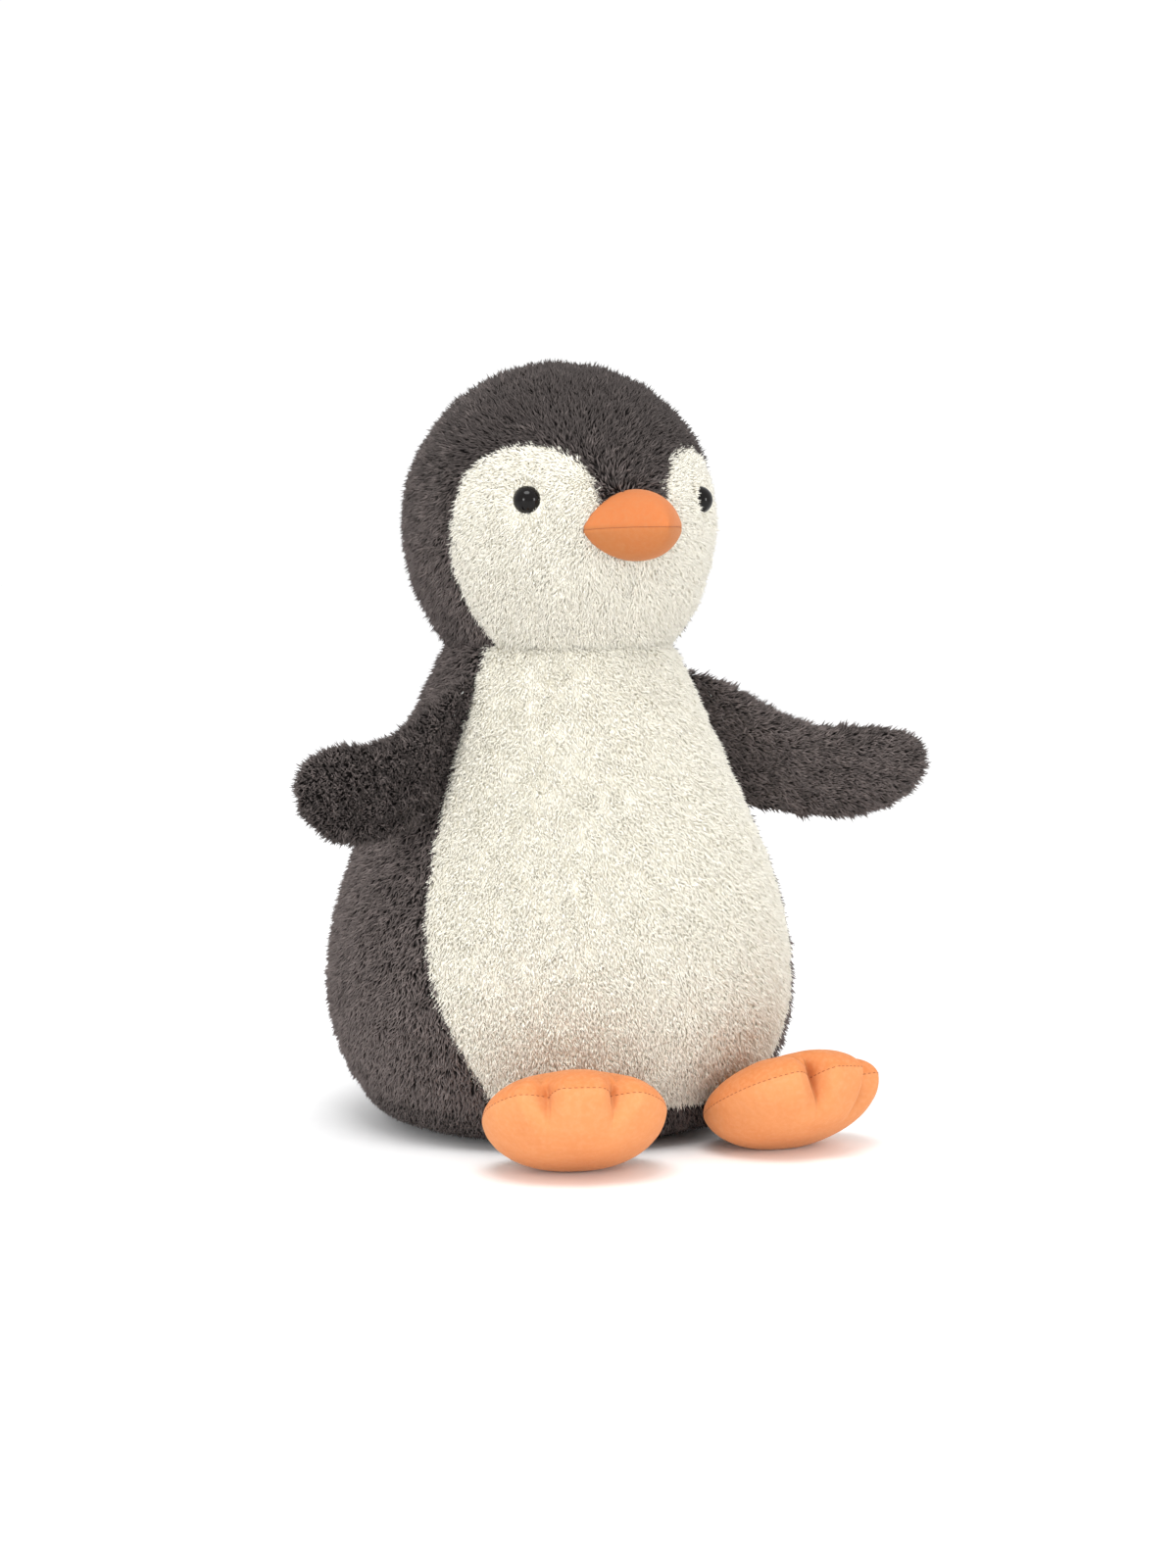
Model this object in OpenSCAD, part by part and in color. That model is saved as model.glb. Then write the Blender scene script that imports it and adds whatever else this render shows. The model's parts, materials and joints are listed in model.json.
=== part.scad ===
// Plush penguin, sitting. Millimetres, +Z up, the face looks along -Y.
// The origin is on the floor, under the middle of the body.
// The toy's own left is +X.

/* [Body] */
// Height of the neck crease above the floor
neck_z = 231; // [198:1:278]
// Radius of the neck crease
neck_r = 54.5; // [46:0.5:60]
// Height of the chest, where the body leans in most
chest_z = 150; // [125:1:180]
// Radius of the chest
chest_r = 91.5; // [80:0.5:105]
// Height of the widest part of the belly
belly_z = 68; // [56:1:82]
// Radius of the widest part of the belly
belly_r = 112.5; // [100:0.5:135]
// Height of the seam around the base
base_h = 20; // [16:0.5:24]
// Radius of the seam around the base
base_r = 99; // [88:0.5:108]
// Radius of the flat that the toy sits on
floor_r = 66; // [54:0.5:80]

/* [Head] */
// Radius of the head at its widest
head_r = 75; // [62:0.5:90]
// Height of the head's centre above the neck crease
head_rise = 58; // [49:0.5:70]
// Height of the nod's pivot above the neck crease
pivot_rise = 31; // [26:0.5:38]

/* [Beak] */
// Width of the beak at the face
beak_w = 51; // [40:1:62]
// Height of the beak's upper half at the face
beak_up = 17; // [12:0.5:20]
// Height of the beak's lower half at the face
beak_down = 16; // [12:0.5:20]
// Reach of the beak's tip in front of the head
beak_reach = 29; // [22:1:36]
// Height of the beak's seam above the head's centre
beak_lift = -1.5; // [-8:0.5:8]

/* [Eyes] */
// Diameter of an eye's dome
eye_d = 13; // [10:0.5:16]
// Height of an eye's dome
eye_h = 5.6; // [4:0.1:8]
// Depth of the dome's seat in the plush
eye_sink = 3; // [1:0.1:3.6]
// Diameter of the shank behind the dome
shank_d = 5; // [3:0.5:6]
// Length of the shank
shank_l = 12; // [10:0.5:16]
// Diameter of the washer behind the plush
washer_d = 18; // [14:0.5:22]
// Thickness of the washer
washer_t = 2; // [1.5:0.1:3]
// Angle of an eye from the middle of the face
eye_side = 40.5; // [34:0.5:48]
// Angle of an eye above the head's centre
eye_lift = 8.5; // [2:0.5:14]

/* [Flippers] */
// Length of a flipper from its seam to its tip
flipper_l = 103; // [86:1:124]
// Width scale of a flipper
flipper_w = 64; // [52:1:78]
// Thickness of a flipper
flipper_t = 20; // [15:0.5:26]
// Droop of a flipper below level
flipper_droop = 8; // [0:0.5:20]
// Angle of a flipper forwards of straight out from its seam
flipper_forward = 5; // [0:0.5:15]
// Angle of the side seam from the middle of the belly
seam_side = 70; // [64:0.5:76]
// Height from the neck crease down to the top of a flipper's seam
flipper_drop = 14; // [8:0.5:17]
// Height that a flipper's seam runs down the body
flipper_root = 65; // [54:0.5:74]

/* [Feet] */
// Length of a foot
foot_l = 78; // [64:1:94]
// Width of a foot
foot_w = 82; // [66:1:94]
// Thickness of a foot above its seam
foot_up = 17; // [13:0.5:21]
// Thickness of a foot below its seam
foot_down = 20.5; // [16:0.5:24]
// Angle of a foot outwards from straight ahead
foot_splay = 21; // [10:0.5:30]
// Angle of a foot's seam above level
foot_pitch = 30; // [20:0.5:36]
// Angle around the base at which a foot is sewn on
foot_side = 26.5; // [20:0.5:34]
// Height of the line on which a foot tips
foot_hinge_z = 14; // [11:0.5:17]
// Depth of the notches between the toes, as a share of the foot's radius
toe_notch = 0.15; // [0:0.01:0.2]

/* [Fabric] */
// Thickness of the plush with its pile
plush_t = 4; // [3:0.1:5]
// Thickness of the smooth fabric of the beak and feet
smooth_t = 2; // [1.5:0.1:3]
// Gap between a cover and what it holds
fill_gap = 0.4; // [0.3:0.05:0.8]

/* [Bean bag] */
// Radius of the bean bag in the seat
bag_r = 62; // [50:0.5:64]
// Height of the bean bag
bag_h = 34; // [28:0.5:44]
// Thickness of its cloth
bag_t = 1.2; // [1:0.1:2]

/* [Travel] */
// Angle that a foot tips up before it meets the belly
foot_up_angle = 8; // [0:1:12]

/* [Hidden] */

// Fabric and plastic colours
charcoal = [0.23, 0.21, 0.21];
cream = [0.93, 0.89, 0.79];
orange = [0.93, 0.56, 0.28];
black = [0.03, 0.03, 0.03];
stuffing = [0.97, 0.97, 0.95];
cloth = [0.85, 0.84, 0.80];
pellet_white = [0.90, 0.90, 0.92];

// Clearances
socket_gap = 2;
beak_gap = 0.3;
root_gap = 2;
foot_gap = 0.6;
shank_gap = 0.15;
dome_gap = 0.2;

// Smoothness
rings = 14;
edge_steps = 8;
turn = 96;
far = 200;

// Slopes of the body's outline, radius per height
base_slope = 0.55;
chest_slope = -0.45;
neck_slope = -0.5;

// Heights that follow from the driving sizes
head_z = neck_z + head_rise;
pivot_z = neck_z + pivot_rise;
neck_reach = norm([neck_r, head_rise]);
neck_angle = atan(head_rise / neck_r);
ball_r = norm([neck_r, pivot_rise]);
socket_r = ball_r + socket_gap;
beak_z = head_z + beak_lift;

// Angle below the pivot at which the ball of stuffing meets the neck
neck_drop = atan(pivot_rise / neck_r) + 2;

// ---- outlines ----

// Height-wise curve between two stations [z, r, slope]
function bend(a, b, z) =
    let (span = b[0] - a[0], t = (z - a[0]) / span)
    let (t2 = t * t, t3 = t * t * t)
    (2 * t3 - 3 * t2 + 1) * a[1] + (t3 - 2 * t2 + t) * span * a[2]
    + (3 * t2 - 2 * t3) * b[1] + (t3 - t2) * span * b[2];

// Radius of the rounded base at a height up to its seam
function base_at(z) =
    floor_r + (base_r - floor_r) * sqrt(max(0, 1 - pow((base_h - z) / base_h, 2)));

// Radius of the body at any height
function body_at(z) =
    z < base_h ? base_at(max(0, z))
    : z < belly_z ? bend([base_h, base_r, base_slope], [belly_z, belly_r, 0], z)
    : z < chest_z ? bend([belly_z, belly_r, 0], [chest_z, chest_r, chest_slope], z)
    : bend([chest_z, chest_r, chest_slope], [neck_z, neck_r, neck_slope], min(z, neck_z));

// Distance from the head's centre to its surface at an elevation
function head_at(el) =
    el >= 0 ? head_r : head_r + (neck_reach - head_r) * pow(el / neck_angle, 2);

// Unit vector at an angle from straight ahead and an elevation
function aim(side, el) = [cos(el) * sin(side), -cos(el) * cos(side), sin(el)];

// Outline of the head, drawn in by an inset
function head_line(inset) = [
    for (i = [0:2 * rings])
        let (el = -neck_angle + (90 + neck_angle) * i / (2 * rings))
        (head_at(el) - inset) * [cos(el), sin(el)] + [0, head_z]
];

// Outline of the body between two heights, drawn in by an inset
function body_line(low, high, inset, steps) = [
    for (i = [0:steps])
        let (z = low + (high - low) * i / steps)
        [body_at(z) - inset, z]
];

// Arc below the nod's pivot, from the axis out to the neck
function ball_line(radius, out_angle) = [
    for (i = [0:rings])
        let (el = -90 + (90 - out_angle) * i / rings)
        radius * [cos(el), sin(el)] + [0, pivot_z]
];

// Smooth curve through a list of points
function smooth_point(p, i, t) =
    let (n = len(p))
    let (a = p[max(i - 1, 0)], b = p[i], c = p[i + 1], d = p[min(i + 2, n - 1)])
    0.5 * (2 * b + (c - a) * t + (2 * a - 5 * b + 4 * c - d) * t * t
        + (3 * b - a - 3 * c + d) * t * t * t);

function smooth_line(p, steps) = [
    for (i = [0:len(p) - 2]) for (k = [0:steps - 1]) smooth_point(p, i, k / steps),
    p[len(p) - 1]
];

// ---- closed surfaces from rings of points ----

function strip(rows, n, start, turned) = [
    for (i = [0:rows - 1]) for (j = [0:n - 1])
        let (a = start + i * n + j, b = start + i * n + (j + 1) % n)
        let (c = b + n, d = a + n)
        each turned ? [[a, c, b], [a, d, c]] : [[a, b, c], [a, c, d]]
];

function open_strip(rows, n, start, turned) = [
    for (f = strip(rows, n, start, turned))
        if (abs((f[0] - start) % n - (f[1] - start) % n) < 2
            && abs((f[1] - start) % n - (f[2] - start) % n) < 2
            && abs((f[0] - start) % n - (f[2] - start) % n) < 2) f
];

function kept_faces(points, faces) = [
    for (f = faces)
        if (points[f[0]] != points[f[1]] && points[f[1]] != points[f[2]]
            && points[f[0]] != points[f[2]]) f
];

// Skin between an outer and an inner set of rings that end at one rim
module ring_skin(outer, inner, turned) {
    n = len(outer[0]);
    m = len(outer);
    points = [each for (row = outer) row, each for (row = inner) row];
    rim = [
        for (j = [0:n - 1])
            let (a = (m - 1) * n + j, b = (m - 1) * n + (j + 1) % n)
            let (c = b + m * n, d = a + m * n)
            each turned ? [[a, c, b], [a, d, c]] : [[a, b, c], [a, c, d]]
    ];
    faces = concat(strip(m - 1, n, 0, turned), strip(m - 1, n, m * n, !turned), rim);
    polyhedron(points, kept_faces(points, faces));
}

// Solid between an upper and a lower set of rings with one rim
module ring_solid(upper, lower) {
    n = len(upper[0]);
    m = len(upper);
    points = [each for (row = upper) row, each for (row = lower) row];
    faces = concat(strip(m - 1, n, 0, false), strip(m - 1, n, m * n, true));
    polyhedron(points, kept_faces(points, faces));
}

// ---- head ----

module head_shell() {
    rotate_extrude($fn = turn)
        polygon(concat(head_line(0), [for (i = [2 * rings:-1:0]) head_line(plush_t)[i]]));
}

// Directions of the cream cheek's edge: angle from the middle, elevation
cheek_edge = [
    [0, -2], [12, 8], [13, 13.5], [16, 19], [24, 25.5], [35, 28.8], [47, 28.5], [58, 25],
    [66, 18.5], [70, 10], [72, -4], [73, -18], [70.5, -30], [66, -41], [62, -53], [0, -60]
];
cheek_middle = [36, -12];

module cheek_cone() {
    tip = [0, 0, head_z];
    outline = [for (e = cheek_edge) tip + far * aim(e[0], e[1])];
    crown = tip + far * aim(cheek_middle[0], cheek_middle[1]);
    points = concat([tip, crown], outline);
    n = len(outline);
    polyhedron(points, [
        for (i = [0:n - 1])
            let (a = 2 + i, b = 2 + (i + 1) % n)
            each [[0, b, a], [1, a, b]]
    ]);
}

module left_half() {
    translate([0, -far, -far])
        cube([far, 2 * far, 4 * far]);
}

// Puts a child on the head, its +Z pointing out of the surface at an eye
module at_eye(depth) {
    translate([0, 0, head_z] + (head_r - depth) * aim(eye_side, eye_lift))
        rotate([0, 0, eye_side - 90])
            rotate([0, 90 - eye_lift, 0])
                children();
}

module head_side() {
    color(charcoal)
        difference() {
            intersection() {
                head_shell();
                left_half();
            }
            cheek_cone();
        }
}

module cheek() {
    color(cream)
        difference() {
            intersection() {
                head_shell();
                cheek_cone();
            }
            at_eye(eye_sink)
                cylinder(h = 2 * eye_h, d = eye_d + 2 * dome_gap, $fn = turn);
            at_eye(2 * plush_t)
                cylinder(h = 4 * plush_t, d = shank_d + 2 * shank_gap, $fn = turn);
        }
}

// Depth of the washer's back behind the plush, which is dished around it
washer_seat = head_r - plush_t - sqrt(pow(head_r - plush_t, 2) - pow(washer_d / 2, 2));
washer_depth = plush_t + fill_gap + washer_seat + washer_t;

module washer_pocket() {
    at_eye(eye_sink + shank_l + 2 * fill_gap)
        cylinder(h = 2 * shank_l, d = washer_d + 2 * fill_gap, $fn = turn);
}

module head_fill() {
    inset = plush_t + fill_gap;
    color(stuffing)
        difference() {
            rotate_extrude($fn = turn)
                polygon(concat(ball_line(ball_r, neck_drop), head_line(inset)));
            washer_pocket();
            mirror([1, 0, 0])
                washer_pocket();
        }
}

// ---- eyes ----

module eye() {
    dome_r = (pow(eye_d / 2, 2) + pow(eye_h, 2)) / (2 * eye_h);
    color(black)
        at_eye(eye_sink)
            union() {
                intersection() {
                    translate([0, 0, eye_h - dome_r])
                        sphere(r = dome_r, $fn = turn);
                    cylinder(h = eye_h, d = eye_d, $fn = turn);
                }
                translate([0, 0, -shank_l])
                    cylinder(h = shank_l + 1, d = shank_d, $fn = turn);
            }
}

module eye_washer() {
    color(stuffing)
        at_eye(washer_depth)
            difference() {
                cylinder(h = washer_t, d = washer_d, $fn = turn);
                translate([0, 0, -1])
                    cylinder(h = washer_t + 2, d = shank_d + 2 * shank_gap, $fn = turn);
            }
}

// ---- beak ----

beak_rows = 7;
beak_cols = 16;
beak_side = [1.25, 0.75];
beak_roof = [2.2, 0.6];
beak_corner = 1.5;

// Share of a section's size left at a share of the reach
function beak_slim(curve, share) = share < 1 ? pow(1 - pow(share, curve[0]), curve[1]) : 0;
// Height round the beak as a share, pointed at the corners by the face and round at the tip
function beak_rise(around, gone) =
    sign(sin(around)) * pow(abs(sin(around)), beak_corner + (1 - beak_corner) * gone);

// Point of the beak at a turn around its length and a share of its reach
function beak_point(around, share, inset) =
    let (half_w = beak_w / 2 - inset)
    let (half_h = (around < 180 ? beak_up : beak_down) - inset)
    let (gone = sin(90 * share), tall = half_h * beak_rise(around, gone))
    let (x = half_w * cos(around), z = beak_lift + half_h * beak_rise(around, 0))
    let (seat_r = head_at(asin(z / head_r)) + beak_gap, tip_y = -(head_r + beak_reach - inset))
    let (seat_y = -sqrt(seat_r * seat_r - x * x - z * z))
    [
        x * beak_slim(beak_side, gone),
        seat_y + (tip_y - seat_y) * gone,
        beak_z + tall * beak_slim(beak_roof, gone)
    ];

function beak_rings(from, to, inset) = [
    for (i = [0:beak_rows])
        [for (j = [0:beak_cols]) beak_point(from + (to - from) * j / beak_cols, i / beak_rows, inset)]
];

// Curved skin with four free edges
module beak_half(from, to) {
    outer = beak_rings(from, to, 0);
    inner = beak_rings(from, to, smooth_t);
    n = beak_cols + 1;
    m = beak_rows + 1;
    points = [each for (row = outer) row, each for (row = inner) row];
    near_edge = [
        for (j = [0:n - 2])
            let (a = j, b = j + 1, c = b + m * n, d = a + m * n)
            each [[a, b, c], [a, c, d]]
    ];
    side_edges = [
        for (i = [0:m - 2])
            let (a = i * n, b = a + n, c = b + m * n, d = a + m * n)
            let (e = a + n - 1, f = e + n, g = f + m * n, h = e + m * n)
            each [[a, c, b], [a, d, c], [e, f, g], [e, g, h]]
    ];
    faces = concat(
        open_strip(m - 1, n, 0, true), open_strip(m - 1, n, m * n, false), near_edge, side_edges);
    color(orange)
        polyhedron(points, kept_faces(points, faces));
}

module beak_upper() {
    beak_half(0, 180);
}

module beak_lower() {
    beak_half(180, 360);
}

module beak_fill() {
    inset = smooth_t + fill_gap;
    n = 2 * beak_cols;
    back_lift = 2;
    core = [
        for (i = [0:beak_rows])
            [for (j = [0:n - 1]) beak_point(360 * j / n, i / beak_rows, inset)]
    ];
    back = [for (j = [0:n - 1]) [0, -(head_r + beak_gap + back_lift), beak_z]];
    points = [each back, each for (row = core) row];
    color(stuffing)
        polyhedron(points, kept_faces(points, strip(beak_rows + 1, n, 0, true)));
}

// ---- body ----

module body_shell() {
    difference() {
        rotate_extrude($fn = turn)
            polygon(concat(
                body_line(base_h, neck_z, 0, rings),
                [for (i = [rings:-1:0]) body_line(base_h, neck_z, plush_t, rings)[i]]));
        translate([0, 0, pivot_z])
            sphere(r = socket_r, $fn = turn);
    }
}

// Half-angle of the cream belly at shares of the height from base to neck
belly_edge = [
    [0, 46.5], [0.06, 49.5], [0.14, 53.5], [0.25, 59.5], [0.4, 64.5], [0.6, 67.5], [0.8, 69.5], [1, 71]
];

module belly_wedge() {
    low = base_h - 1;
    high = neck_z + 1;
    n = len(belly_edge);
    points = [
        for (e = belly_edge)
            let (z = low + (high - low) * e[0])
            each [[0, 0, z], far * aim(0, 0) + [0, 0, z], far * aim(e[1], 0) + [0, 0, z]]
    ];
    top = 3 * (n - 1);
    polyhedron(points, concat(strip(n - 1, 3, 0, true), [[0, 1, 2], [top, top + 2, top + 1]]));
}

module belly_panel() {
    color(cream)
        intersection() {
            body_shell();
            union() {
                belly_wedge();
                other_side()
                    belly_wedge();
            }
        }
}

module back_panel() {
    color(charcoal)
        difference() {
            intersection() {
                body_shell();
                left_half();
            }
            belly_wedge();
        }
}

// Outline of the base from its flat to its seam, drawn in by an inset
function base_line(low, inset) = [
    for (i = [0:edge_steps])
        let (z = low + (base_h - low) * (1 - cos(90 * i / edge_steps)))
        [base_at(z) - inset, z]
];

module base_panel() {
    inner = base_line(plush_t, plush_t);
    color(charcoal)
        rotate_extrude($fn = turn)
            polygon(concat(
                [[0, 0]], base_line(0, 0), [for (i = [edge_steps:-1:0]) inner[i]], [[0, plush_t]]));
}

// Outline of the bean bag's rounded top, drawn in by an inset
bag_z = plush_t + fill_gap;
function bag_line(inset) = [
    for (i = [0:edge_steps])
        let (a = 90 * i / edge_steps)
        [(bag_r - inset) * cos(a), bag_z + (bag_h - inset) * sin(a)]
];

module bean_pouch() {
    inner = [for (p = bag_line(bag_t)) [p[0], max(p[1], bag_z + bag_t)]];
    color(cloth)
        difference() {
            rotate_extrude($fn = turn)
                polygon(concat([[0, bag_z]], bag_line(0)));
            rotate_extrude($fn = turn)
                polygon(concat([[0, bag_z + bag_t]], inner));
        }
}

module bean_pellets() {
    inset = bag_t + fill_gap;
    inner = [for (p = bag_line(inset)) [p[0], max(p[1], bag_z + inset)]];
    color(pellet_white)
        rotate_extrude($fn = turn)
            polygon(concat([[0, bag_z + inset]], inner));
}

module body_fill() {
    inset = plush_t + fill_gap;
    bag_top = bag_line(-fill_gap);
    side = base_line(inset, inset);
    wall = body_line(base_h, neck_z, inset, rings);
    socket = ball_line(socket_r, neck_drop + 2);
    color(stuffing)
        difference() {
            rotate_extrude($fn = turn)
                polygon(concat(
                    [[0, bag_z + bag_h + fill_gap]],
                    [for (i = [edge_steps - 1:-1:1]) bag_top[i]],
                    [[bag_r + fill_gap, inset]],
                    side,
                    [for (i = [1:rings]) wall[i]],
                    [[0, neck_z]]));
            translate([0, 0, pivot_z])
                sphere(r = socket_r, $fn = turn);
        }
}

// ---- flippers ----

flipper_bands = 5;
root_steps = 6;
root_taper = 24;
flipper_crown = 2.6;
flipper_edge = 0.55;
flipper_top = [body_at(neck_z - flipper_drop) + root_gap, neck_z - flipper_drop];
flipper_low_z = neck_z - flipper_drop - flipper_root;
flipper_low = [body_at(flipper_low_z) + root_gap, flipper_low_z];
flipper_mid = (flipper_top + flipper_low) / 2;
flipper_out = [cos(flipper_droop), -sin(flipper_droop)];
flipper_rise = [sin(flipper_droop), cos(flipper_droop)];
flipper_turn = (flipper_low - flipper_top) / norm(flipper_low - flipper_top);

// The flipper's edge from the top of its root, round the tip, to the bottom:
// shares of its length outwards and of its width upwards
flipper_shape = [
    [0.09, 0.30], [0.30, 0.19], [0.53, 0.175], [0.77, 0.21], [0.94, 0.155], [1, 0.03],
    [0.975, -0.17], [0.84, -0.39], [0.65, -0.51], [0.47, -0.54], [0.32, -0.53]
];
flipper_heart = flipper_mid + 0.5 * flipper_l * flipper_out - 0.15 * flipper_w * flipper_rise;

function flipper_edge_points() = concat(
    smooth_line(concat(
        [flipper_top],
        [for (s = flipper_shape) flipper_mid + s[0] * flipper_l * flipper_out
            + s[1] * flipper_w * flipper_rise],
        [flipper_low]), 2),
    [for (i = [1:root_steps - 1]) flipper_low + (flipper_top - flipper_low) * i / root_steps]);

// The root line, and the way that the flipper stands out from it
seam_out = aim(seam_side, 0);
seam_back = [cos(seam_side), sin(seam_side), 0];
root_start = flipper_top[0] * seam_out + [0, 0, flipper_top[1]];
root_along = flipper_turn[0] * seam_out + [0, 0, flipper_turn[1]];
root_out = -flipper_turn[1] * seam_out + [0, 0, flipper_turn[0]];
wing_out = cos(flipper_forward) * root_out - sin(flipper_forward) * seam_back;
wing_back = cos(flipper_forward) * seam_back + sin(flipper_forward) * root_out;

function flipper_point(edge, share, side, inset) =
    let (reach = norm(edge - flipper_heart))
    let (p = flipper_heart + (edge - flipper_heart) * share * (reach - inset) / reach)
    let (along = (p - flipper_top) * flipper_turn, out = cross(flipper_turn, p - flipper_top))
    let (puff = share < 1 ? pow(1 - pow(share, flipper_crown), flipper_edge) : 0)
    let (h = side * (flipper_t / 2 - inset) * puff * min(1, abs(out) / root_taper))
    root_start + along * root_along + out * wing_out + h * wing_back;

function flipper_rings(side, inset) = [
    for (i = [0:flipper_bands])
        let (share = sin(90 * i / flipper_bands))
        [for (e = flipper_edge_points()) flipper_point(e, share, side, inset)]
];

module flipper_front() {
    color(charcoal)
        ring_skin(flipper_rings(-1, 0), flipper_rings(-1, plush_t), true);
}

module flipper_back() {
    color(charcoal)
        ring_skin(flipper_rings(1, 0), flipper_rings(1, plush_t), false);
}

module flipper_fill() {
    inset = plush_t + fill_gap;
    color(stuffing)
        ring_solid(flipper_rings(1, inset), flipper_rings(-1, inset));
}

// ---- feet ----

foot_bands = 5;
foot_cols = 36;
toe_square = 3.3;
heel_square = 2.3;
foot_crown = 2.4;
foot_edge = 0.6;
toe_angle = 27;
toe_spread = 9;
heel_reach = 3.5;
heel_drop = 6.5;
foot_along = aim(foot_splay, foot_pitch);
foot_across = [cos(foot_splay), sin(foot_splay), 0];
foot_rise = cross(foot_across, foot_along) * -1;
foot_hinge = (body_at(foot_hinge_z) + root_gap) * aim(foot_side, 0) + [0, 0, foot_hinge_z];
foot_middle = foot_hinge + (foot_l / 2 - heel_reach) * foot_along - heel_drop * foot_rise;

function foot_radius(a) =
    let (c = abs(cos(a)) / (foot_l / 2), s = abs(sin(a)) / (foot_w / 2))
    let (notch = pow((min(a, 360 - a) - toe_angle) / toe_spread, 2))
    let (square = cos(a) > 0 ? toe_square : heel_square)
    pow(pow(c, square) + pow(s, square), -1 / square)
        * (1 - toe_notch * exp(-notch));

// Keeps a point off the floor, and outside the body with room to tip up
function foot_clear(p, inset) =
    let (z = max(p[2], inset), r = norm([p[0], p[1]]))
    let (room = tan(foot_up_angle) * max(0, z - foot_hinge_z))
    let (least = body_at(z) + foot_gap + inset + room)
    let (push = max(1, least / r))
    [p[0] * push, p[1] * push, z];

function foot_point(a, share, side, inset) =
    let (r = share * (foot_radius(a) - inset))
    let (thick = (side > 0 ? foot_up : foot_down) - inset)
    let (puff = share < 1 ? pow(1 - pow(share, foot_crown), foot_edge) : 0)
    foot_clear(foot_middle + r * cos(a) * foot_along + r * sin(a) * foot_across
        + side * thick * puff * foot_rise, inset);

function foot_rings(side, inset) = [
    for (i = [0:foot_bands])
        let (share = sin(90 * i / foot_bands))
        [for (j = [0:foot_cols - 1]) foot_point(360 * j / foot_cols, share, side, inset)]
];

module foot_upper() {
    color(orange)
        ring_skin(foot_rings(1, 0), foot_rings(1, smooth_t), false);
}

module foot_sole() {
    color(orange)
        ring_skin(foot_rings(-1, 0), foot_rings(-1, smooth_t), true);
}

module foot_fill() {
    inset = smooth_t + fill_gap;
    color(stuffing)
        ring_solid(foot_rings(1, inset), foot_rings(-1, inset));
}

// ---- the toy's right side mirrors its left ----

module other_side() {
    mirror([1, 0, 0])
        children();
}

head_side();  // head_side_left
other_side() head_side();  // head_side_right
cheek();  // cheek_left
other_side() cheek();  // cheek_right
head_fill();
beak_upper();
beak_lower();
beak_fill();
eye();  // eye_left
other_side() eye();  // eye_right
eye_washer();  // eye_washer_left
other_side() eye_washer();  // eye_washer_right
belly_panel();
back_panel();  // back_left
other_side() back_panel();  // back_right
base_panel();
body_fill();
bean_pouch();
bean_pellets();
flipper_front();  // left_flipper_front
flipper_back();  // left_flipper_back
flipper_fill();  // left_flipper_fill
other_side() flipper_front();  // right_flipper_front
other_side() flipper_back();  // right_flipper_back
other_side() flipper_fill();  // right_flipper_fill
foot_upper();  // left_foot_upper
foot_sole();  // left_foot_sole
foot_fill();  // left_foot_fill
other_side() foot_upper();  // right_foot_upper
other_side() foot_sole();  // right_foot_sole
other_side() foot_fill();  // right_foot_fill
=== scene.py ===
"""Sitting plush penguin: pile panels, padded flippers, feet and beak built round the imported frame.

Every size is in metres, +Z up, the face looks along -Y, and the toy's own left is +X.
"""

import json
import math

import bmesh
import bpy
import numpy as np
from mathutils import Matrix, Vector


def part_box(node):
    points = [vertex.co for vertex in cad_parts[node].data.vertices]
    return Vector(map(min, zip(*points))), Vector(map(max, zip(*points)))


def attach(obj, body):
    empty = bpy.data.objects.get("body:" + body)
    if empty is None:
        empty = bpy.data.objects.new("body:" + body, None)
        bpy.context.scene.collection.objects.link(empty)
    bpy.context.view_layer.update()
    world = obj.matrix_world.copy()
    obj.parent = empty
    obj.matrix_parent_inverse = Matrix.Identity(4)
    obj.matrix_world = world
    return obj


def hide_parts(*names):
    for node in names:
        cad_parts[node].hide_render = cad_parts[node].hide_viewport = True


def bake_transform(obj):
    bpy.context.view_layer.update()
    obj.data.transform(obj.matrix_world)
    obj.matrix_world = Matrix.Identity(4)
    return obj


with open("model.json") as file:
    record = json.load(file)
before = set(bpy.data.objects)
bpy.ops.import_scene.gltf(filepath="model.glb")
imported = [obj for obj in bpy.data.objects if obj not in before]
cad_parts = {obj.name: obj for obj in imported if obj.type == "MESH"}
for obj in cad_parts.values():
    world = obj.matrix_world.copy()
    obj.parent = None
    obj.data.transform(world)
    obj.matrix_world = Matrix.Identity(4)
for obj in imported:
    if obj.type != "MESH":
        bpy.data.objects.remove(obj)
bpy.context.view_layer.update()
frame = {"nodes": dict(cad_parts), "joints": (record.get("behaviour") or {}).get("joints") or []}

bl_info = {
    "name": "Plush Penguin",
    "version": (1, 0, 0),
    "blender": (4, 5, 0),
    "location": "View3D > Sidebar > Penguin",
    "description": "Builds a sitting plush penguin from its packed frame",
    "category": "Add Mesh",
}

MM = 0.001
NODE = frame["nodes"]
BOX = {name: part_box(name) for name in NODE}
JOINT = {joint["name"]: joint for joint in frame["joints"]}
UV_MAP = "OFBake"
SIDES = (("left", 1), ("right", -1))

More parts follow.
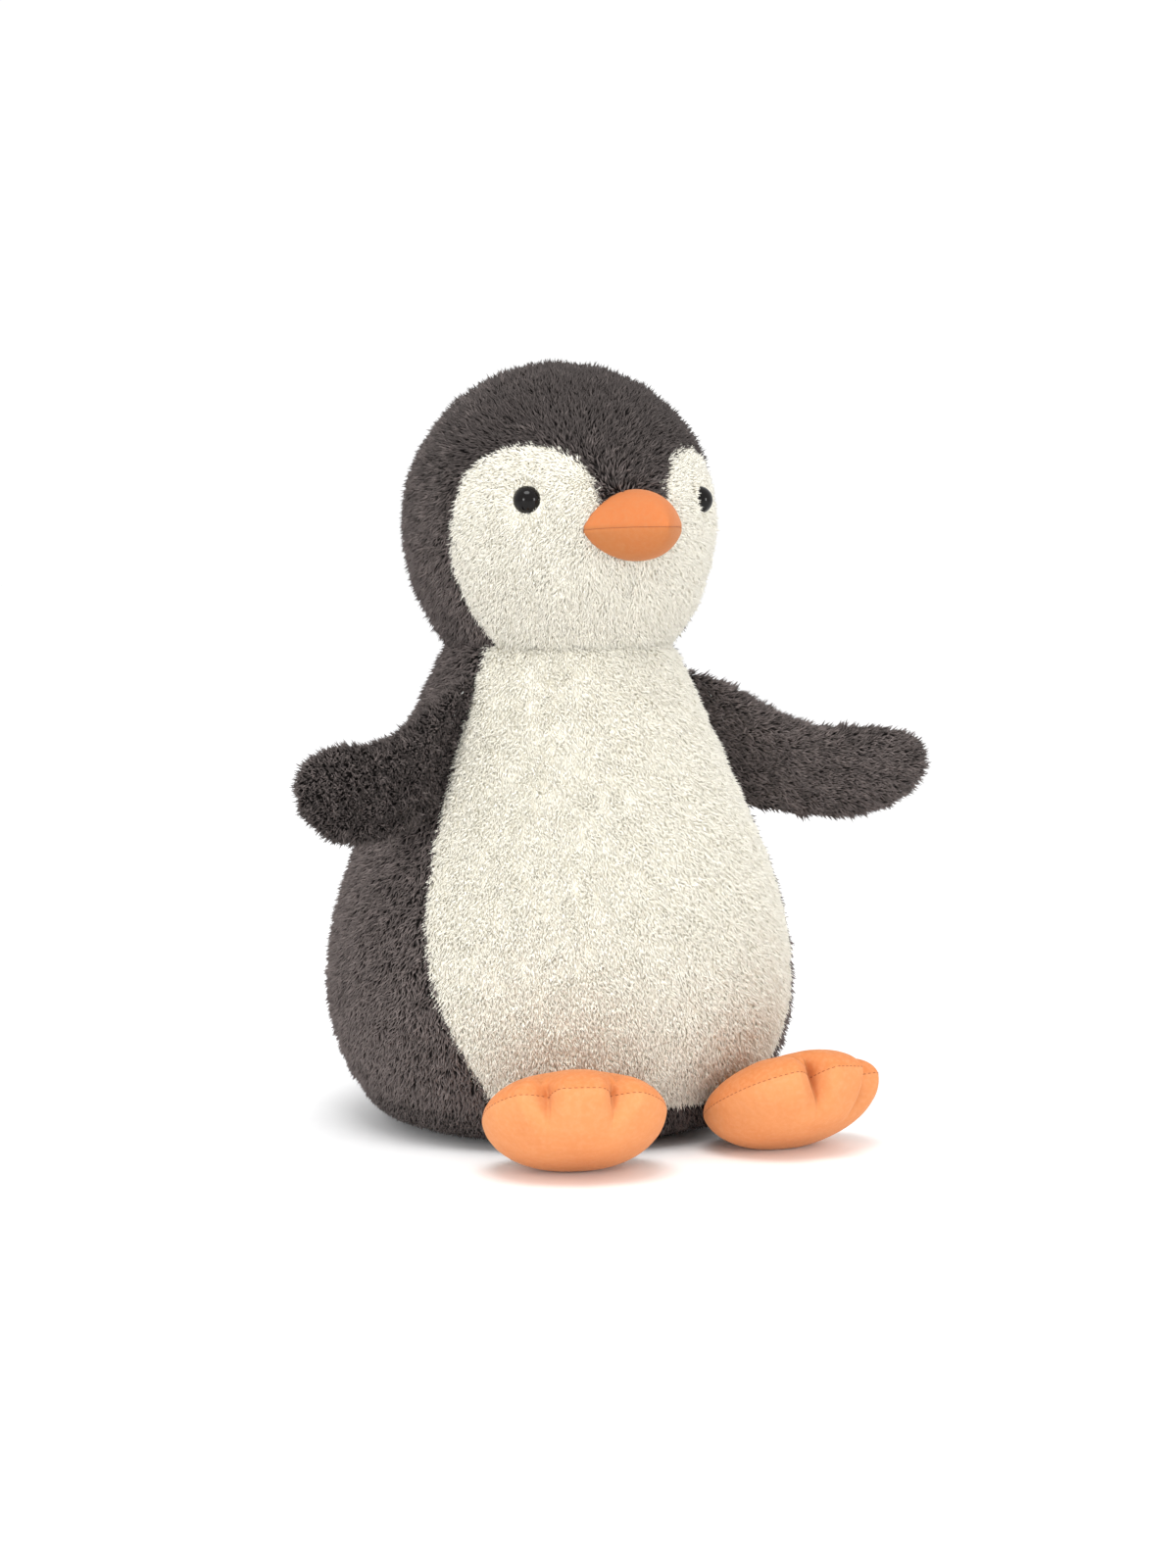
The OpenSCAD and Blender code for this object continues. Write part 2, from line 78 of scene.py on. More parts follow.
# Stations of the body's outline between the neck and the base: height, radius, slope
NECK_Z = BOX["cheek_left"][0].z
BODY_LINE = (
    (BOX["base_panel"][1].z, BOX["base_panel"][1].x, 0.55),
    (0.068, 0.1125, 0.0),
    (0.150, 0.0915, -0.45),
    (NECK_Z, 0.0545, -0.5),
)
HEAD_R = BOX["head_side_left"][1].x
HEAD_Z = BOX["head_side_left"][1].z - HEAD_R
NECK_ANGLE = math.degrees(math.atan2(HEAD_Z - NECK_Z, BODY_LINE[3][1]))
NECK_REACH = math.hypot(HEAD_Z - NECK_Z, BODY_LINE[3][1])
BEAK_BOX = (BOX["beak_lower"][0], BOX["beak_upper"][1])
BEAK_MID = Vector((0, -HEAD_R, HEAD_Z))
BEAK_SEAM_Z = BOX["beak_upper"][0].z
# How flat the beak's section is drawn at its corners: 1 is an ellipse
BEAK_CORNER = 1.5
# Degrees by which the head's panels go on below the neck crease
NECK_TUCK = 5.0
# Heights under and over the neck crease between which the body's pieces bend
NECK_BEND = (28 * MM, 0.5 * MM)
# Reach of a limb's bend behind its joint and beyond it
FLIPPER_BEND = (3 * MM, 13 * MM)
FOOT_BEND = (2 * MM, 14 * MM)

# Seam round the cream face: turn from the front and height above the head's middle, in degrees
CHEEK_SEAM = np.array([
    (0, -2), (12, 8), (13, 13.5), (16, 19), (24, 25.5), (35, 28.8), (47, 28.5),
    (58, 25), (66, 18.5), (70, 10), (72, -4), (73, -18), (70.5, -30), (66, -41),
    (64.2, -46), (63.5, -50),
], float)
# Half the cream belly's width, in degrees, by share of the height from base to neck
BELLY_SEAM = np.array([
    (0, 46.5), (0.06, 49.5), (0.14, 53.5), (0.25, 59.5), (0.4, 64.5),
    (0.6, 67.5), (0.8, 69.5), (1, 71),
], float)
# Edge of the flipper as shares of its length outwards and its width upwards
FLIPPER_EDGE = np.array([
    (0.09, 0.30), (0.30, 0.19), (0.53, 0.175), (0.77, 0.21), (0.94, 0.155), (1, 0.03),
    (0.975, -0.17), (0.84, -0.39), (0.65, -0.51), (0.47, -0.54), (0.32, -0.53),
], float)

# Front seam of the head under the beak, and the turn at which the cheek's seam meets the neck
FRONT_SEAM = (0, -2)
CHEEK_END = 63.8
# The station of the cheek's seam that is its outer corner
CHEEK_CORNER = 7
# Lengths of the panels' edges, which set how many points they get: across and up
HEAD_SIDE_RUN = (0.195, 0.12)
CHEEK_RUN = (0.075, 0.085)
BODY_RUN = (0.23, 0.235)

# Tufts on a square millimetre
HEAD_SIDE_TUFTS, CHEEK_TUFTS, BELLY_TUFTS = 1.0, 2.2, 1.5
BACK_TUFTS, BASE_TUFTS, FLIPPER_TUFTS = 0.85, 0.8, 1.25
# How much more the charcoal pile stands up than the cream
DARK_LIFT = 1.35
# Painted light and shade of the charcoal pile, as shares up or down: at the nape and its fall to a painted
# shade on the crown and forehead, at the foot of the back, painted lighter, and its fall to the neck, and
# painted shade on each flipper
HEAD_PAINTED_TONE, HEAD_PAINTED_SHADE_FALL = 0.05, 0.62
BACK_PAINTED_LIGHT, BACK_PAINTED_LIGHT_FALL = 0.3, 0.35
FLIPPER_PAINTED_SHADE = {"left": -0.06, "right": -0.3}
# Pile round an eye: how far it is parted, left out and cut short, each with its fade
EYE_PARTED, EYE_PARTED_FADE = 13 * MM, 6 * MM
EYE_BARE, EYE_BARE_FADE = 6.4 * MM, 1.2 * MM
EYE_SHORT, EYE_SHORT_FADE, EYE_SHORTEN = 11 * MM, 4 * MM, 0.42
EYE_RIM = (6.4 * MM, 7.6 * MM)
# Share of the beak's outline inside which no pile grows, and its fade
BEAK_COVER, BEAK_COVER_FADE = 0.72, 0.12

# The flipper's gap to the back, and how far its root is drawn in, thinned and tapered
FLIPPER_GAP, ROOT_DRAWN, ROOT_REACH = 2 * MM, 5.5 * MM, 7 * MM
ROOT_THIN, ROOT_TAPER = 4 * MM, 24 * MM
# Profiles of the stuffed pieces: how late they fall to the seam, and how square they are there
FLIPPER_PUFF, FOOT_PUFF, BEAK_SLIM, BEAK_ROOF = (2.6, 0.55), (2.4, 0.58), (1.25, 0.86), (2.0, 0.7)
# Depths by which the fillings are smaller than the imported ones
HEAD_FILL_DEPTH, BODY_FILL_DEPTH, FLIPPER_FILL_DEPTH = 4.5 * MM, 5 * MM, 2.5 * MM

# The beak's gap to the face, half its seam's width in degrees, the seam's depth and its ripples
BEAK_GAP, BEAK_SEAM_WIDTH, BEAK_SEAM_DEPTH = 0.3 * MM, 6.5, 0.02
BEAK_RIPPLE, BEAK_RIPPLES = 0.006, 60
# Droop of the beak's corners, and its hidden end: how narrow it is and how far it is tucked in
BEAK_DROOP, BEAK_TUCK, BEAK_TUCK_DEPTH, BEAK_END_DEPTH = 1.6 * MM, 0.97, 4 * MM, 6 * MM
BEAK_STITCH_STEP = 1.3 * MM

# The foot's middle against its hinge, its filling's depth and its gaps to the floor and belly
FOOT_BACK, FOOT_LOW, FOOT_FILL_DEPTH = 2.0 * MM, 6.5 * MM, 6.5 * MM
FLOOR_GAP, BELLY_GAP = 0.05 * MM, 0.6 * MM
FOOT_TILT_UP = 8
# Turn from the middle toe to a valley and half its width, in degrees; its place across the foot
VALLEY_TURN, VALLEY_HALF, VALLEY_PLACE = 27, 15, 0.2
# Share of the foot's length where the valleys are deepest, and how much later the sole's start
TOE_END, SOLE_LATER = 0.95, 0.26
PUCKERS, PUCKER_DEPTH = 44, 0.03
THREAD_RADIUS = 0.17 * MM

# Lens in millimetres, place, and turn and tip from the line to the toy in degrees
LENS = 69.5
CAMERA_AT = Vector((-0.6854, -1.2891, 0.30))
CAMERA_TURN, CAMERA_TIP = 0.52, -5.38
# Soft lights: name, place, size, watts and form
SOFTBOXES = (
    ("softbox_top", (-0.40, -0.60, 1.55), (0.95, 0.70), 13, "ELLIPSE"),
    ("softbox_left", (-1.66, -1.12, 0.46), (0.44, 0.56), 11.2, "RECTANGLE"),
    ("softbox_right", (1.0, -1.73, 0.46), (0.40, 0.56), 9.4, "RECTANGLE"),
)
LIT_MIDDLE = Vector((0, 0, 0.2))
WORLD_GLOW = 1.05
FLOOR_HALF = 9.0
FLOOR_TONES = ((0.955, 0.955, 0.96), (0.985, 0.985, 0.987))


# ---- sizes and colours a maker may change ----


def length(name, text, value):
    """A length in metres that a maker may change."""
    return bpy.props.FloatProperty(
        name=name, description=text, default=value, unit="LENGTH", precision=4
    )


def number(name, text, value):
    return bpy.props.FloatProperty(name=name, description=text, default=value)


def angle(name, text, degrees):
    """An angle, kept in radians and shown in degrees."""
    return bpy.props.FloatProperty(
        name=name, description=text, default=math.radians(degrees), subtype="ANGLE"
    )


def colour(name, text, value):
    return bpy.props.FloatVectorProperty(
        name=name, description=text, default=value, subtype="COLOR", size=3, min=0, max=1
    )


class PenguinPile(bpy.types.PropertyGroup):
    """Sizes of the pile on the fur fabric."""

    backing_depth: length("Backing depth", "How far the woven backing lies under the pile", 2.5 * MM)
    backing_inner: length("Backing inner", "Depth of the backing's inner face", 4.3 * MM)
    seam_depth: length("Seam depth", "How much deeper the backing is drawn in at a seam", 1.2 * MM)
    seam_reach: length("Seam reach", "How far the dip of a seam reaches into a panel", 4 * MM)
    tuft_length: length("Tuft length", "Length of one tuft of pile", 4.2 * MM)
    tuft_width: length("Tuft width", "Width of one tuft of pile", 0.74 * MM)
    dark_size: number("Dark pile size", "Size of the charcoal tufts beside the cream ones", 1.42)
    lift: number("Lift", "How much a tuft stands up from the backing", 0.4)
    lean: number("Lean", "How much a tuft follows the lie of the pile", 0.8)
    clump: number("Clump", "How much neighbouring tufts turn together", 0.85)
    clump_scale: number("Clump scale", "Clumps of pile in one metre", 120.0)
    grid: length("Backing grid", "Distance between the backing's points", 3.2 * MM)


class PenguinShape(bpy.types.PropertyGroup):
    """Sizes of the padded pieces."""

    flipper_length: length("Flipper length", "From the middle of the root to the tip", 0.103)
    flipper_width: length("Flipper width", "Size of the flipper's outline from top to bottom", 0.064)
    flipper_thick: length("Flipper thickness", "Thickness of the stuffed flipper", 0.020)
    flipper_root: length("Flipper root", "Height of the seam that joins the flipper", 0.0685)
    flipper_drop: length("Flipper drop", "From the neck to the top of the flipper's seam", 0.0105)
    droop_left: angle("Left droop", "How far the left flipper hangs", 8)
    droop_right: angle("Right droop", "How far the right flipper hangs", 7.5)
    flipper_forward: angle("Flipper forward", "How far the flippers point forward", 5)
    seam_side: angle("Flipper side", "Turn from the front to the flipper's seam", 70)
    foot_length: length("Foot length", "From heel to middle toe", 0.078)
    foot_width: length("Foot width", "Across the outer toes", 0.082)
    foot_up: length("Foot top", "Padding above the foot's seam", 0.017)
    foot_down: length("Foot sole", "Padding below the foot's seam", 0.022)
    toe_square: number("Toe squareness", "How square the foot's outline is at its toes", 2.25)
    heel_square: number("Heel squareness", "How square the foot's outline is at its heel", 2.3)
    toe_notch_left: number("Left toe notch", "Depth of the dips between the left toes, as a share", 0.42)
    toe_notch_right: number("Right toe notch", "Depth of the dips between the right toes, as a share", 0.28)
    notch_run_left: number("Left notch run", "How close to the seam the left dips keep", 3.2)
    notch_run_right: number("Right notch run", "How close to the seam the right dips keep", 6)
    valley_left: number("Left valley start", "Share of the length where the left valleys start", 0.12)
    valley_right: number("Right valley start", "Share of the length where the right valleys start", 0.4)
    toe_valley: number("Toe valley", "Depth of the valleys between toes, as a share", 0.95)
    splay_left: angle("Left splay", "How far the left foot points outwards", 19)
    splay_right: angle("Right splay", "How far the right foot points outwards", 22.5)
    pitch_left: angle("Left pitch", "How far the left foot's toes point up", 28)
    pitch_right: angle("Right pitch", "How far the right foot's toes point up", 30)
    roll_left: angle("Left roll", "How far the left foot's outer edge drops", 9)
    roll_right: angle("Right roll", "How far the right foot's outer edge drops", 0)
    eye_side: angle("Eye side", "Turn from the front to an eye", 40.5)
    eye_up: angle("Eye height", "Angle of an eye above the head's middle", 8.5)
    stitch_step: length("Stitch step", "Distance between stitches", 2.6 * MM)
    stitch_length: length("Stitch length", "Length of one stitch", 1.7 * MM)


class PenguinColours(bpy.types.PropertyGroup):
    """Colours of the fabrics and plastics."""

    dark_tip: colour("Dark tips", "Ends of the charcoal pile", (0.128, 0.106, 0.100))
    # Root colours darker than the tips: painted shade deep in the pile
    dark_root_painted_shade: colour("Dark roots", "Roots of the charcoal pile", (0.018, 0.0145, 0.0135))
    cream_tip: colour("Cream tips", "Ends of the cream pile", (0.925, 0.895, 0.80))
    cream_root_painted_shade: colour("Cream roots", "Roots of the cream pile", (0.90, 0.865, 0.755))
    orange_upper: colour("Orange top", "Short nap on the feet and beak", (0.62, 0.222, 0.074))
    orange_sole: colour("Orange sole", "Short nap on the soles", (0.665, 0.28, 0.108))
    beak_upper: colour("Beak top", "Short nap on the upper beak", (0.52, 0.172, 0.056))
    # The lower beak's colour is darker as painted shade on its underside
    beak_lower: colour("Beak below", "Short nap on the lower beak", (0.43, 0.16, 0.052))
    # The thread is darker than the orange nap, partly as its own colour and partly as painted shade of the
    # seam's groove
    thread: colour("Thread", "Seam thread of the orange pieces", (0.30, 0.085, 0.024))
    eye: colour("Eye", "Moulded plastic of the eyes", (0.0012, 0.0012, 0.0012))
    eye_rim: colour("Eye rim", "Thin brown edge of the eyes", (0.004, 0.003, 0.0025))
    stuffing: colour("Stuffing", "Fibre filling", (0.86, 0.86, 0.83))
    lining: colour("Lining", "Cloth of the bean pouch", (0.70, 0.67, 0.60))
    pellet: colour("Pellets", "Plastic pellets and washers", (0.80, 0.80, 0.82))


def pile():
    return bpy.context.scene.penguin_pile


def shape():
    return bpy.context.scene.penguin_shape


def colours():
    return bpy.context.scene.penguin_colours


# ---- node trees ----


class Socket:
    """An output socket on which + - and * add Math nodes."""

    def __init__(self, nodes, socket):
        self.nodes, self.socket = nodes, socket

    def math(self, operation, first, second):
        return self.nodes.add("ShaderNodeMath", {"operation": operation}, {0: first, 1: second})

    def __add__(self, other):
        return self.math("ADD", self, other)

    def __sub__(self, other):
        return self.math("SUBTRACT", self, other)

    def __rsub__(self, other):
        return self.math("SUBTRACT", other, self)

    def __mul__(self, other):
        return self.math("MULTIPLY", self, other)

    __radd__, __rmul__ = __add__, __mul__


class Nodes:
    """Adds nodes to one tree: settings first, then a number fills a socket and a Socket links to it."""

    def __init__(self, tree):
        self.tree = tree

    def add(self, kind, settings=None, values=None, out=0):
        node = self.tree.nodes.new(kind)
        for name, value in (settings or {}).items():
            if name == "stops":
                self.fill_ramp(node.color_ramp, value)
            else:
                setattr(node, name, value)
        for key, value in (values or {}).items():
            if isinstance(value, Socket):
                self.tree.links.new(value.socket, node.inputs[key])
            else:
                node.inputs[key].default_value = value
        return Socket(self, node.outputs[out]) if len(node.outputs) else node

    def fill_ramp(self, ramp, stops):
        while len(ramp.elements) < len(stops):
            ramp.elements.new(0.5)
        for element, (place, shade) in zip(ramp.elements, stops):
            element.position = place
            element.color = (*shade, 1)

    def vector(self, operation, first, second, out=0):
        key = "Scale" if operation == "SCALE" else 1
        return self.add("ShaderNodeVectorMath", {"operation": operation}, {0: first, key: second}, out)

    def mix(self, share, first, second):
        """A colour between two colours."""
        pair = [(*c, 1) if isinstance(c, tuple) else c for c in (first, second)]
        return self.add("ShaderNodeMix", {"data_type": "RGBA"}, {0: share, 6: pair[0], 7: pair[1]}, 2)

    def noise(self, place, scale, detail=2.0, rough=0.5, out=0):
        return self.add(
            "ShaderNodeTexNoise", None,
            {"Vector": place, "Scale": scale, "Detail": detail, "Roughness": rough}, out,
        )


def material(name, paint):
    """A named material, made once; paint(nodes) returns the shader's socket values."""
    made = bpy.data.materials.get(name)
    if made:
        return made
    made = bpy.data.materials.new(name)
    made.use_nodes = True
    made.node_tree.nodes.clear()
    nodes = Nodes(made.node_tree)
    shader = nodes.add("ShaderNodeBsdfPrincipled", None, paint(nodes))
    nodes.add("ShaderNodeOutputMaterial", None, {"Surface": shader})
    return made


def pile_material(name, root, tip, sheen, low, high):
    """Pile: across the map runs the tuft's shade, with painted light and shade in it; up it runs root to
    tip, the roots darker as painted shade.
    """

    def paint(nodes):
        place = nodes.add("ShaderNodeUVMap", {"uv_map": UV_MAP})
        split = nodes.add("ShaderNodeSeparateXYZ", None, {0: place})
        along = Socket(nodes, split.socket.node.outputs[1])
        light = nodes.add(
            "ShaderNodeMapRange", {"interpolation_type": "SMOOTHSTEP"},
            {"Value": along, "From Min": 0.1, "From Max": 0.8},
        )
        # Roots darker than tips: painted shade deep in the pile
        lie = nodes.mix(light, tuple(root), tuple(tip))
        streak = nodes.noise(place, 23.0, 1.0)
        # The tip colour made darker or lighter by the tuft's shade: its random tone with painted light and
        # shade in it
        tone_and_painted_light = nodes.mix(
            (split * 0.85 + streak * 0.15), tuple(c * low for c in tip),
            tuple(min(1, c * high) for c in tip),
        )
        mixed = nodes.mix(light * 0.85, lie, tone_and_painted_light)
        return {
            "Base Color": mixed,
            "Roughness": 0.84 - light * 0.12,
            "Specular IOR Level": 0.25,
            "Sheen Weight": sheen,
            "Sheen Roughness": 0.45,
            "Sheen Tint": (*tip, 1),
        }

    return material(name, paint)


def nap_material(name, upper, sole, scale=1.0):
    """Short brushed nap in two tones, told apart by the piece's own shade attribute."""

    def paint(nodes):
        place = nodes.add("ShaderNodeTexCoord", None, None, "Object")
        side = nodes.add("ShaderNodeAttribute", {"attribute_name": "sole"}, None, "Fac")
        base = nodes.mix(side, tuple(upper), tuple(sole))
        cloud = nodes.noise(place, 60.0 * scale, 3.0)
        brushed = nodes.noise(place, 420.0 * scale, 3.0, 0.6)
        fibre = nodes.noise(place, 1900.0 * scale, 2.0, 0.7)
        deep = tuple(c * k for c, k in zip(upper, (0.86, 0.74, 0.66)))
        pale = tuple(min(1, c * k) for c, k in zip(sole, (1.04, 1.18, 1.5)))
        tone = nodes.mix((cloud - 0.5) * 0.7 + 0.3, base, deep)
        tone = nodes.mix((brushed - 0.42) * 1.1, tone, pale)
        height = brushed * 0.6 + fibre * 0.4
        bump = nodes.add(
            "ShaderNodeBump", None, {"Strength": 0.55, "Distance": 0.35 * MM, "Height": height}
        )
        return {
            "Base Color": tone,
            "Roughness": 0.86 - brushed * 0.1,
            "Specular IOR Level": 0.2,
            "Sheen Weight": 0.16,
            "Sheen Roughness": 0.3,
            "Sheen Tint": (1.0, 0.72, 0.5, 1),
            "Normal": bump,
        }

    return material(name, paint)


def fleck_material(name, tone, scale, strength, roughness, **constants):
    """A plain finish with fine colour flecks and a bump, for the pieces inside."""

    def paint(nodes):
        place = nodes.add("ShaderNodeTexCoord", None, None, "Object")
        fine = nodes.noise(place, scale, 4.0, 0.65)
        wide = nodes.noise(place, scale / 9, 2.0)
        light = tuple(min(1, c * 1.12) for c in tone)
        shade = nodes.mix(fine * 0.6 + wide * 0.4, tuple(c * 0.8 for c in tone), light)
        bump = nodes.add(
            "ShaderNodeBump", None, {"Strength": strength, "Distance": 0.5 * MM, "Height": fine}
        )
        values = {"Base Color": shade, "Roughness": roughness + fine * 0.08, "Normal": bump}
        values.update({key.replace("_", " "): value for key, value in constants.items()})
        return values

    return material(name, paint)


def eye_material():
    """Gloss black dome with a thin brown rim, by distance from the eye's middle."""

    def paint(nodes):
        place = nodes.add("ShaderNodeTexCoord", None, None, "Object")
        centre = (BOX["eye_left"][0] + BOX["eye_left"][1]) / 2
        folded = nodes.add("ShaderNodeVectorMath", {"operation": "ABSOLUTE"}, {0: place})
        middle = nodes.vector("DISTANCE", folded, tuple(abs(c) for c in centre), "Value")
        rim = nodes.add(
            "ShaderNodeMapRange", {"interpolation_type": "SMOOTHSTEP"},
            {"Value": middle, "From Min": EYE_RIM[0], "From Max": EYE_RIM[1]},
        )
        speck = nodes.noise(place, 900.0, 2.0)
        tone = nodes.mix(rim * (0.6 + speck * 0.4), tuple(colours().eye), tuple(colours().eye_rim))
        return {
            "Base Color": tone,
            "Roughness": 0.04 + speck * 0.02,
            "Specular IOR Level": 0.2,
        }

    return material("eye_gloss", paint)


# ---- mesh helpers ----


def put(name, data):
    """A new object in the scene."""
    made = bpy.data.objects.new(name, data)
    bpy.context.scene.collection.objects.link(made)
    return made


def turn_to(thing, way):
    """Turns a camera or a light to look along a direction."""
    thing.rotation_mode = "QUATERNION"
    thing.rotation_quaternion = way.to_track_quat("-Z", "Y")


def mesh_object(name, points, faces, smooth=True):
    mesh = bpy.data.meshes.new(name)
    mesh.from_pydata([tuple(p) for p in points], [], [tuple(f) for f in faces])
    mesh.polygons.foreach_set("use_smooth", [smooth] * len(mesh.polygons))
    return put(name, mesh)


def store(mesh, name, kind, domain, values):
    """Writes one value per point or face to a named attribute."""
    layer = mesh.attributes.new(name, kind, domain)
    layer.data.foreach_set("vector" if kind == "FLOAT_VECTOR" else "value", np.ravel(values))


def grid_faces(rows, cols, start=0, turned=False, ring=False):
    """Quads over a grid of points, whose last column meets the first on a ring."""
    across = np.arange(cols if ring else cols - 1)
    low = np.arange(rows - 1)[:, None] * cols + start
    a, b = low + across, low + (across + 1) % cols
    quads = np.stack([a, b, b + cols, a + cols], -1).reshape(-1, 4)
    return quads[:, ::-1] if turned else quads


def fan(centre, start, cols, turned=False):
    """Triangles from one point to a ring of points."""
    j = np.arange(cols)
    a, b = start + j, start + (j + 1) % cols
    c = np.full(cols, centre)
    return np.stack([c, b, a] if turned else [c, a, b], -1)


def facing_out(piece):
    """Turns a closed piece's faces outwards if its volume is negative."""
    mesh = piece.data
    mesh.calc_loop_triangles()
    co = np.zeros(len(mesh.vertices) * 3)
    mesh.vertices.foreach_get("co", co)
    ids = np.zeros(len(mesh.loop_triangles) * 3, int)
    mesh.loop_triangles.foreach_get("vertices", ids)
    a, b, c = co.reshape(-1, 3)[ids.reshape(-1, 3)].transpose(1, 0, 2)
    if np.sum(a * np.cross(b, c)) < 0:
        mesh.flip_normals()


def closed_piece(name, points, rows, cols, turned=False):
    """A closed piece over rings of points, whose last two points close its two ends."""
    n = rows * cols
    faces = [*grid_faces(rows, cols, 0, turned, True), *fan(n, 0, cols, not turned),
             *fan(n + 1, n - cols, cols, turned)]
    piece = mesh_object(name, points, faces)
    facing_out(piece)
    return piece


def spread(points, count):
    """The same line with its points spaced evenly."""
    points = np.asarray(points, float)
    steps = np.r_[0, np.cumsum(np.linalg.norm(np.diff(points, axis=0), axis=1))]
    places = np.linspace(0, steps[-1], count)
    return np.stack([np.interp(places, steps, points[:, k]) for k in range(points.shape[1])], 1)


def smooth_line(points, steps):
    """A curve through the points with some steps between each two."""
    p = np.asarray(points, float)
    p = np.vstack([2 * p[0] - p[1], p, 2 * p[-1] - p[-2]])
    t = np.linspace(0, 1, steps, endpoint=False)[:, None]
    parts = []
    for a, b, c, d in zip(p, p[1:], p[2:], p[3:]):
        parts.append(0.5 * (2 * b + (c - a) * t + (2 * a - 5 * b + 4 * c - d) * t**2
                            + (3 * b - a - 3 * c + d) * t**3))
    return np.vstack([*parts, p[-2:-1]])


def unit(vectors):
    return vectors / np.maximum(np.linalg.norm(vectors, axis=-1, keepdims=True), 1e-9)


def laid(way, normals):
    """A direction laid flat on a surface."""
    return unit(way - normals * np.sum(way * normals, -1, keepdims=True))


def puffed(share, late, square):
    """Profile of a stuffed piece, from 1 in its middle to 0 at its seam."""
    return (1 - share**late) ** square if share < 1 else 0


def aim(side, up):
    """Direction at a turn from the front and an angle above level, in radians."""
    side, up = np.broadcast_arrays(side, up)
    return np.stack([np.cos(up) * np.sin(side), -np.cos(up) * np.cos(side), np.sin(up)], -1)


# ---- outlines of the body and head ----


def body_radius(z):
    """Radius of the plush body at a height."""
    z = np.asarray(z, float)
    base_z, base_r, _ = BODY_LINE[0]
    floor_r = 0.066
    low = floor_r + (base_r - floor_r) * np.sqrt(
        np.maximum(0, 1 - ((base_z - np.clip(z, 0, base_z)) / base_z) ** 2)
    )
    out = low
    for (z0, r0, s0), (z1, r1, s1) in zip(BODY_LINE, BODY_LINE[1:]):
        span = z1 - z0
        t = np.clip((z - z0) / span, 0, 1)
        past = np.maximum(0, z - z1) * s1
        curve = ((2 * t**3 - 3 * t**2 + 1) * r0 + (t**3 - 2 * t**2 + t) * span * s0
                 + (3 * t**2 - 2 * t**3) * r1 + (t**3 - t**2) * span * s1 + past)
        out = np.where(z >= z0, curve, out)
    return out


def body_point(side, z):
    """(point, outward normal) of the plush body."""
    r = body_radius(z)
    step = 0.2 * MM
    slope = (body_radius(z + step) - body_radius(z - step)) / (2 * step)
    flat = np.stack([np.sin(side), -np.cos(side), np.zeros_like(side)], -1)
    point = flat * r[..., None] + np.stack([0 * z, 0 * z, z], -1)
    return point, unit(flat - np.stack([0 * z, 0 * z, slope], -1))


def head_radius(up):
    """Radius of the head at an angle above its middle, in radians."""
    return HEAD_R + np.where(up < 0, (NECK_REACH - HEAD_R) * (np.degrees(up) / NECK_ANGLE) ** 2, 0)


def on_head(points):
    """(point, outward normal) on the head, straight out from its middle."""
    offset = np.asarray(points, float) - (0, 0, HEAD_Z)
    out = unit(offset)
    up = np.arcsin(np.clip(out[..., 2], -1, 1))
    side = np.arctan2(out[..., 0], -out[..., 1])
    radius = head_radius(up)
    bend = (head_radius(up + 0.01) - head_radius(up - 0.01)) / 0.02 / radius
    rising = np.stack(
        [-np.sin(up) * np.sin(side), np.sin(up) * np.cos(side), np.cos(up)], -1
    )
    return out * radius[..., None] + (0, 0, HEAD_Z), unit(out - rising * bend[..., None])


def head_line(degrees, count):
    """Points on the head along a run of (turn, height) stations."""
    stations = np.radians(smooth_line(degrees, 8) if len(degrees) > 2 else spread(degrees, 60))
    return spread(on_head((0, 0, HEAD_Z) + aim(stations[:, 0], stations[:, 1]))[0], count)


def patch(low, high, start, end):
    """A grid between four edges: low and high run across, start and end run up."""
    u = np.linspace(0, 1, len(low))[None, :, None]
    v = np.linspace(0, 1, len(start))[:, None, None]
    ruled = (1 - v) * low[None] + v * high[None] + (1 - u) * start[:, None] + u * end[:, None]
    corners = ((1 - u) * (1 - v) * low[0] + u * (1 - v) * low[-1]
               + (1 - u) * v * high[0] + u * v * high[-1])
    return ruled - corners


def seam_distance(grid):
    """Distance of each grid point to the nearest edge of its panel."""
    def runs(g):
        steps = np.linalg.norm(np.diff(g, axis=0), axis=-1)
        total = np.concatenate([np.zeros((1, g.shape[1])), np.cumsum(steps, axis=0)])
        return np.minimum(total, total[-1] - total)

    return np.minimum(runs(grid), runs(grid.transpose(1, 0, 2)).T)


# ---- pile ----


def tuft():
    """One bent tuft: a buried root, a ring of three points and a tip."""
    made = bpy.data.objects.get("tuft")
    if made:
        return made
    turns = np.radians([90, 210, 330])
    ring = np.stack([0.5 * np.cos(turns) + 0.25, 0.5 * np.sin(turns), [0.45] * 3], -1)
    points = np.vstack([(0, 0, -0.06), ring, (1.5, 0, 1)])
    faces = [(0, 2, 1), (0, 3, 2), (0, 1, 3), (4, 1, 2), (4, 2, 3), (4, 3, 1)]
    made = mesh_object("tuft", points, faces)
    store(made.data, "along", "FLOAT", "POINT", [0.02, 0.42, 0.5, 0.46, 0.98])
    store(made.data, "shift", "FLOAT", "POINT", [0.0, 0.006, 0.0, 0.012, 0.006])
    return made


def new_tree(name, inputs, output):
    """(tree, its nodes, its inputs by name) of a new Geometry Nodes tree."""
    tree = bpy.data.node_groups.new(name, "GeometryNodeTree")
    for label, kind in inputs:
        tree.interface.new_socket(label, in_out="INPUT", socket_type="NodeSocket" + kind)
    tree.interface.new_socket(output, in_out="OUTPUT", socket_type="NodeSocketGeometry")
    nodes = Nodes(tree)
    group = nodes.add("NodeGroupInput").socket.node
    return tree, nodes, {s.name: Socket(nodes, s) for s in group.outputs if s.name}


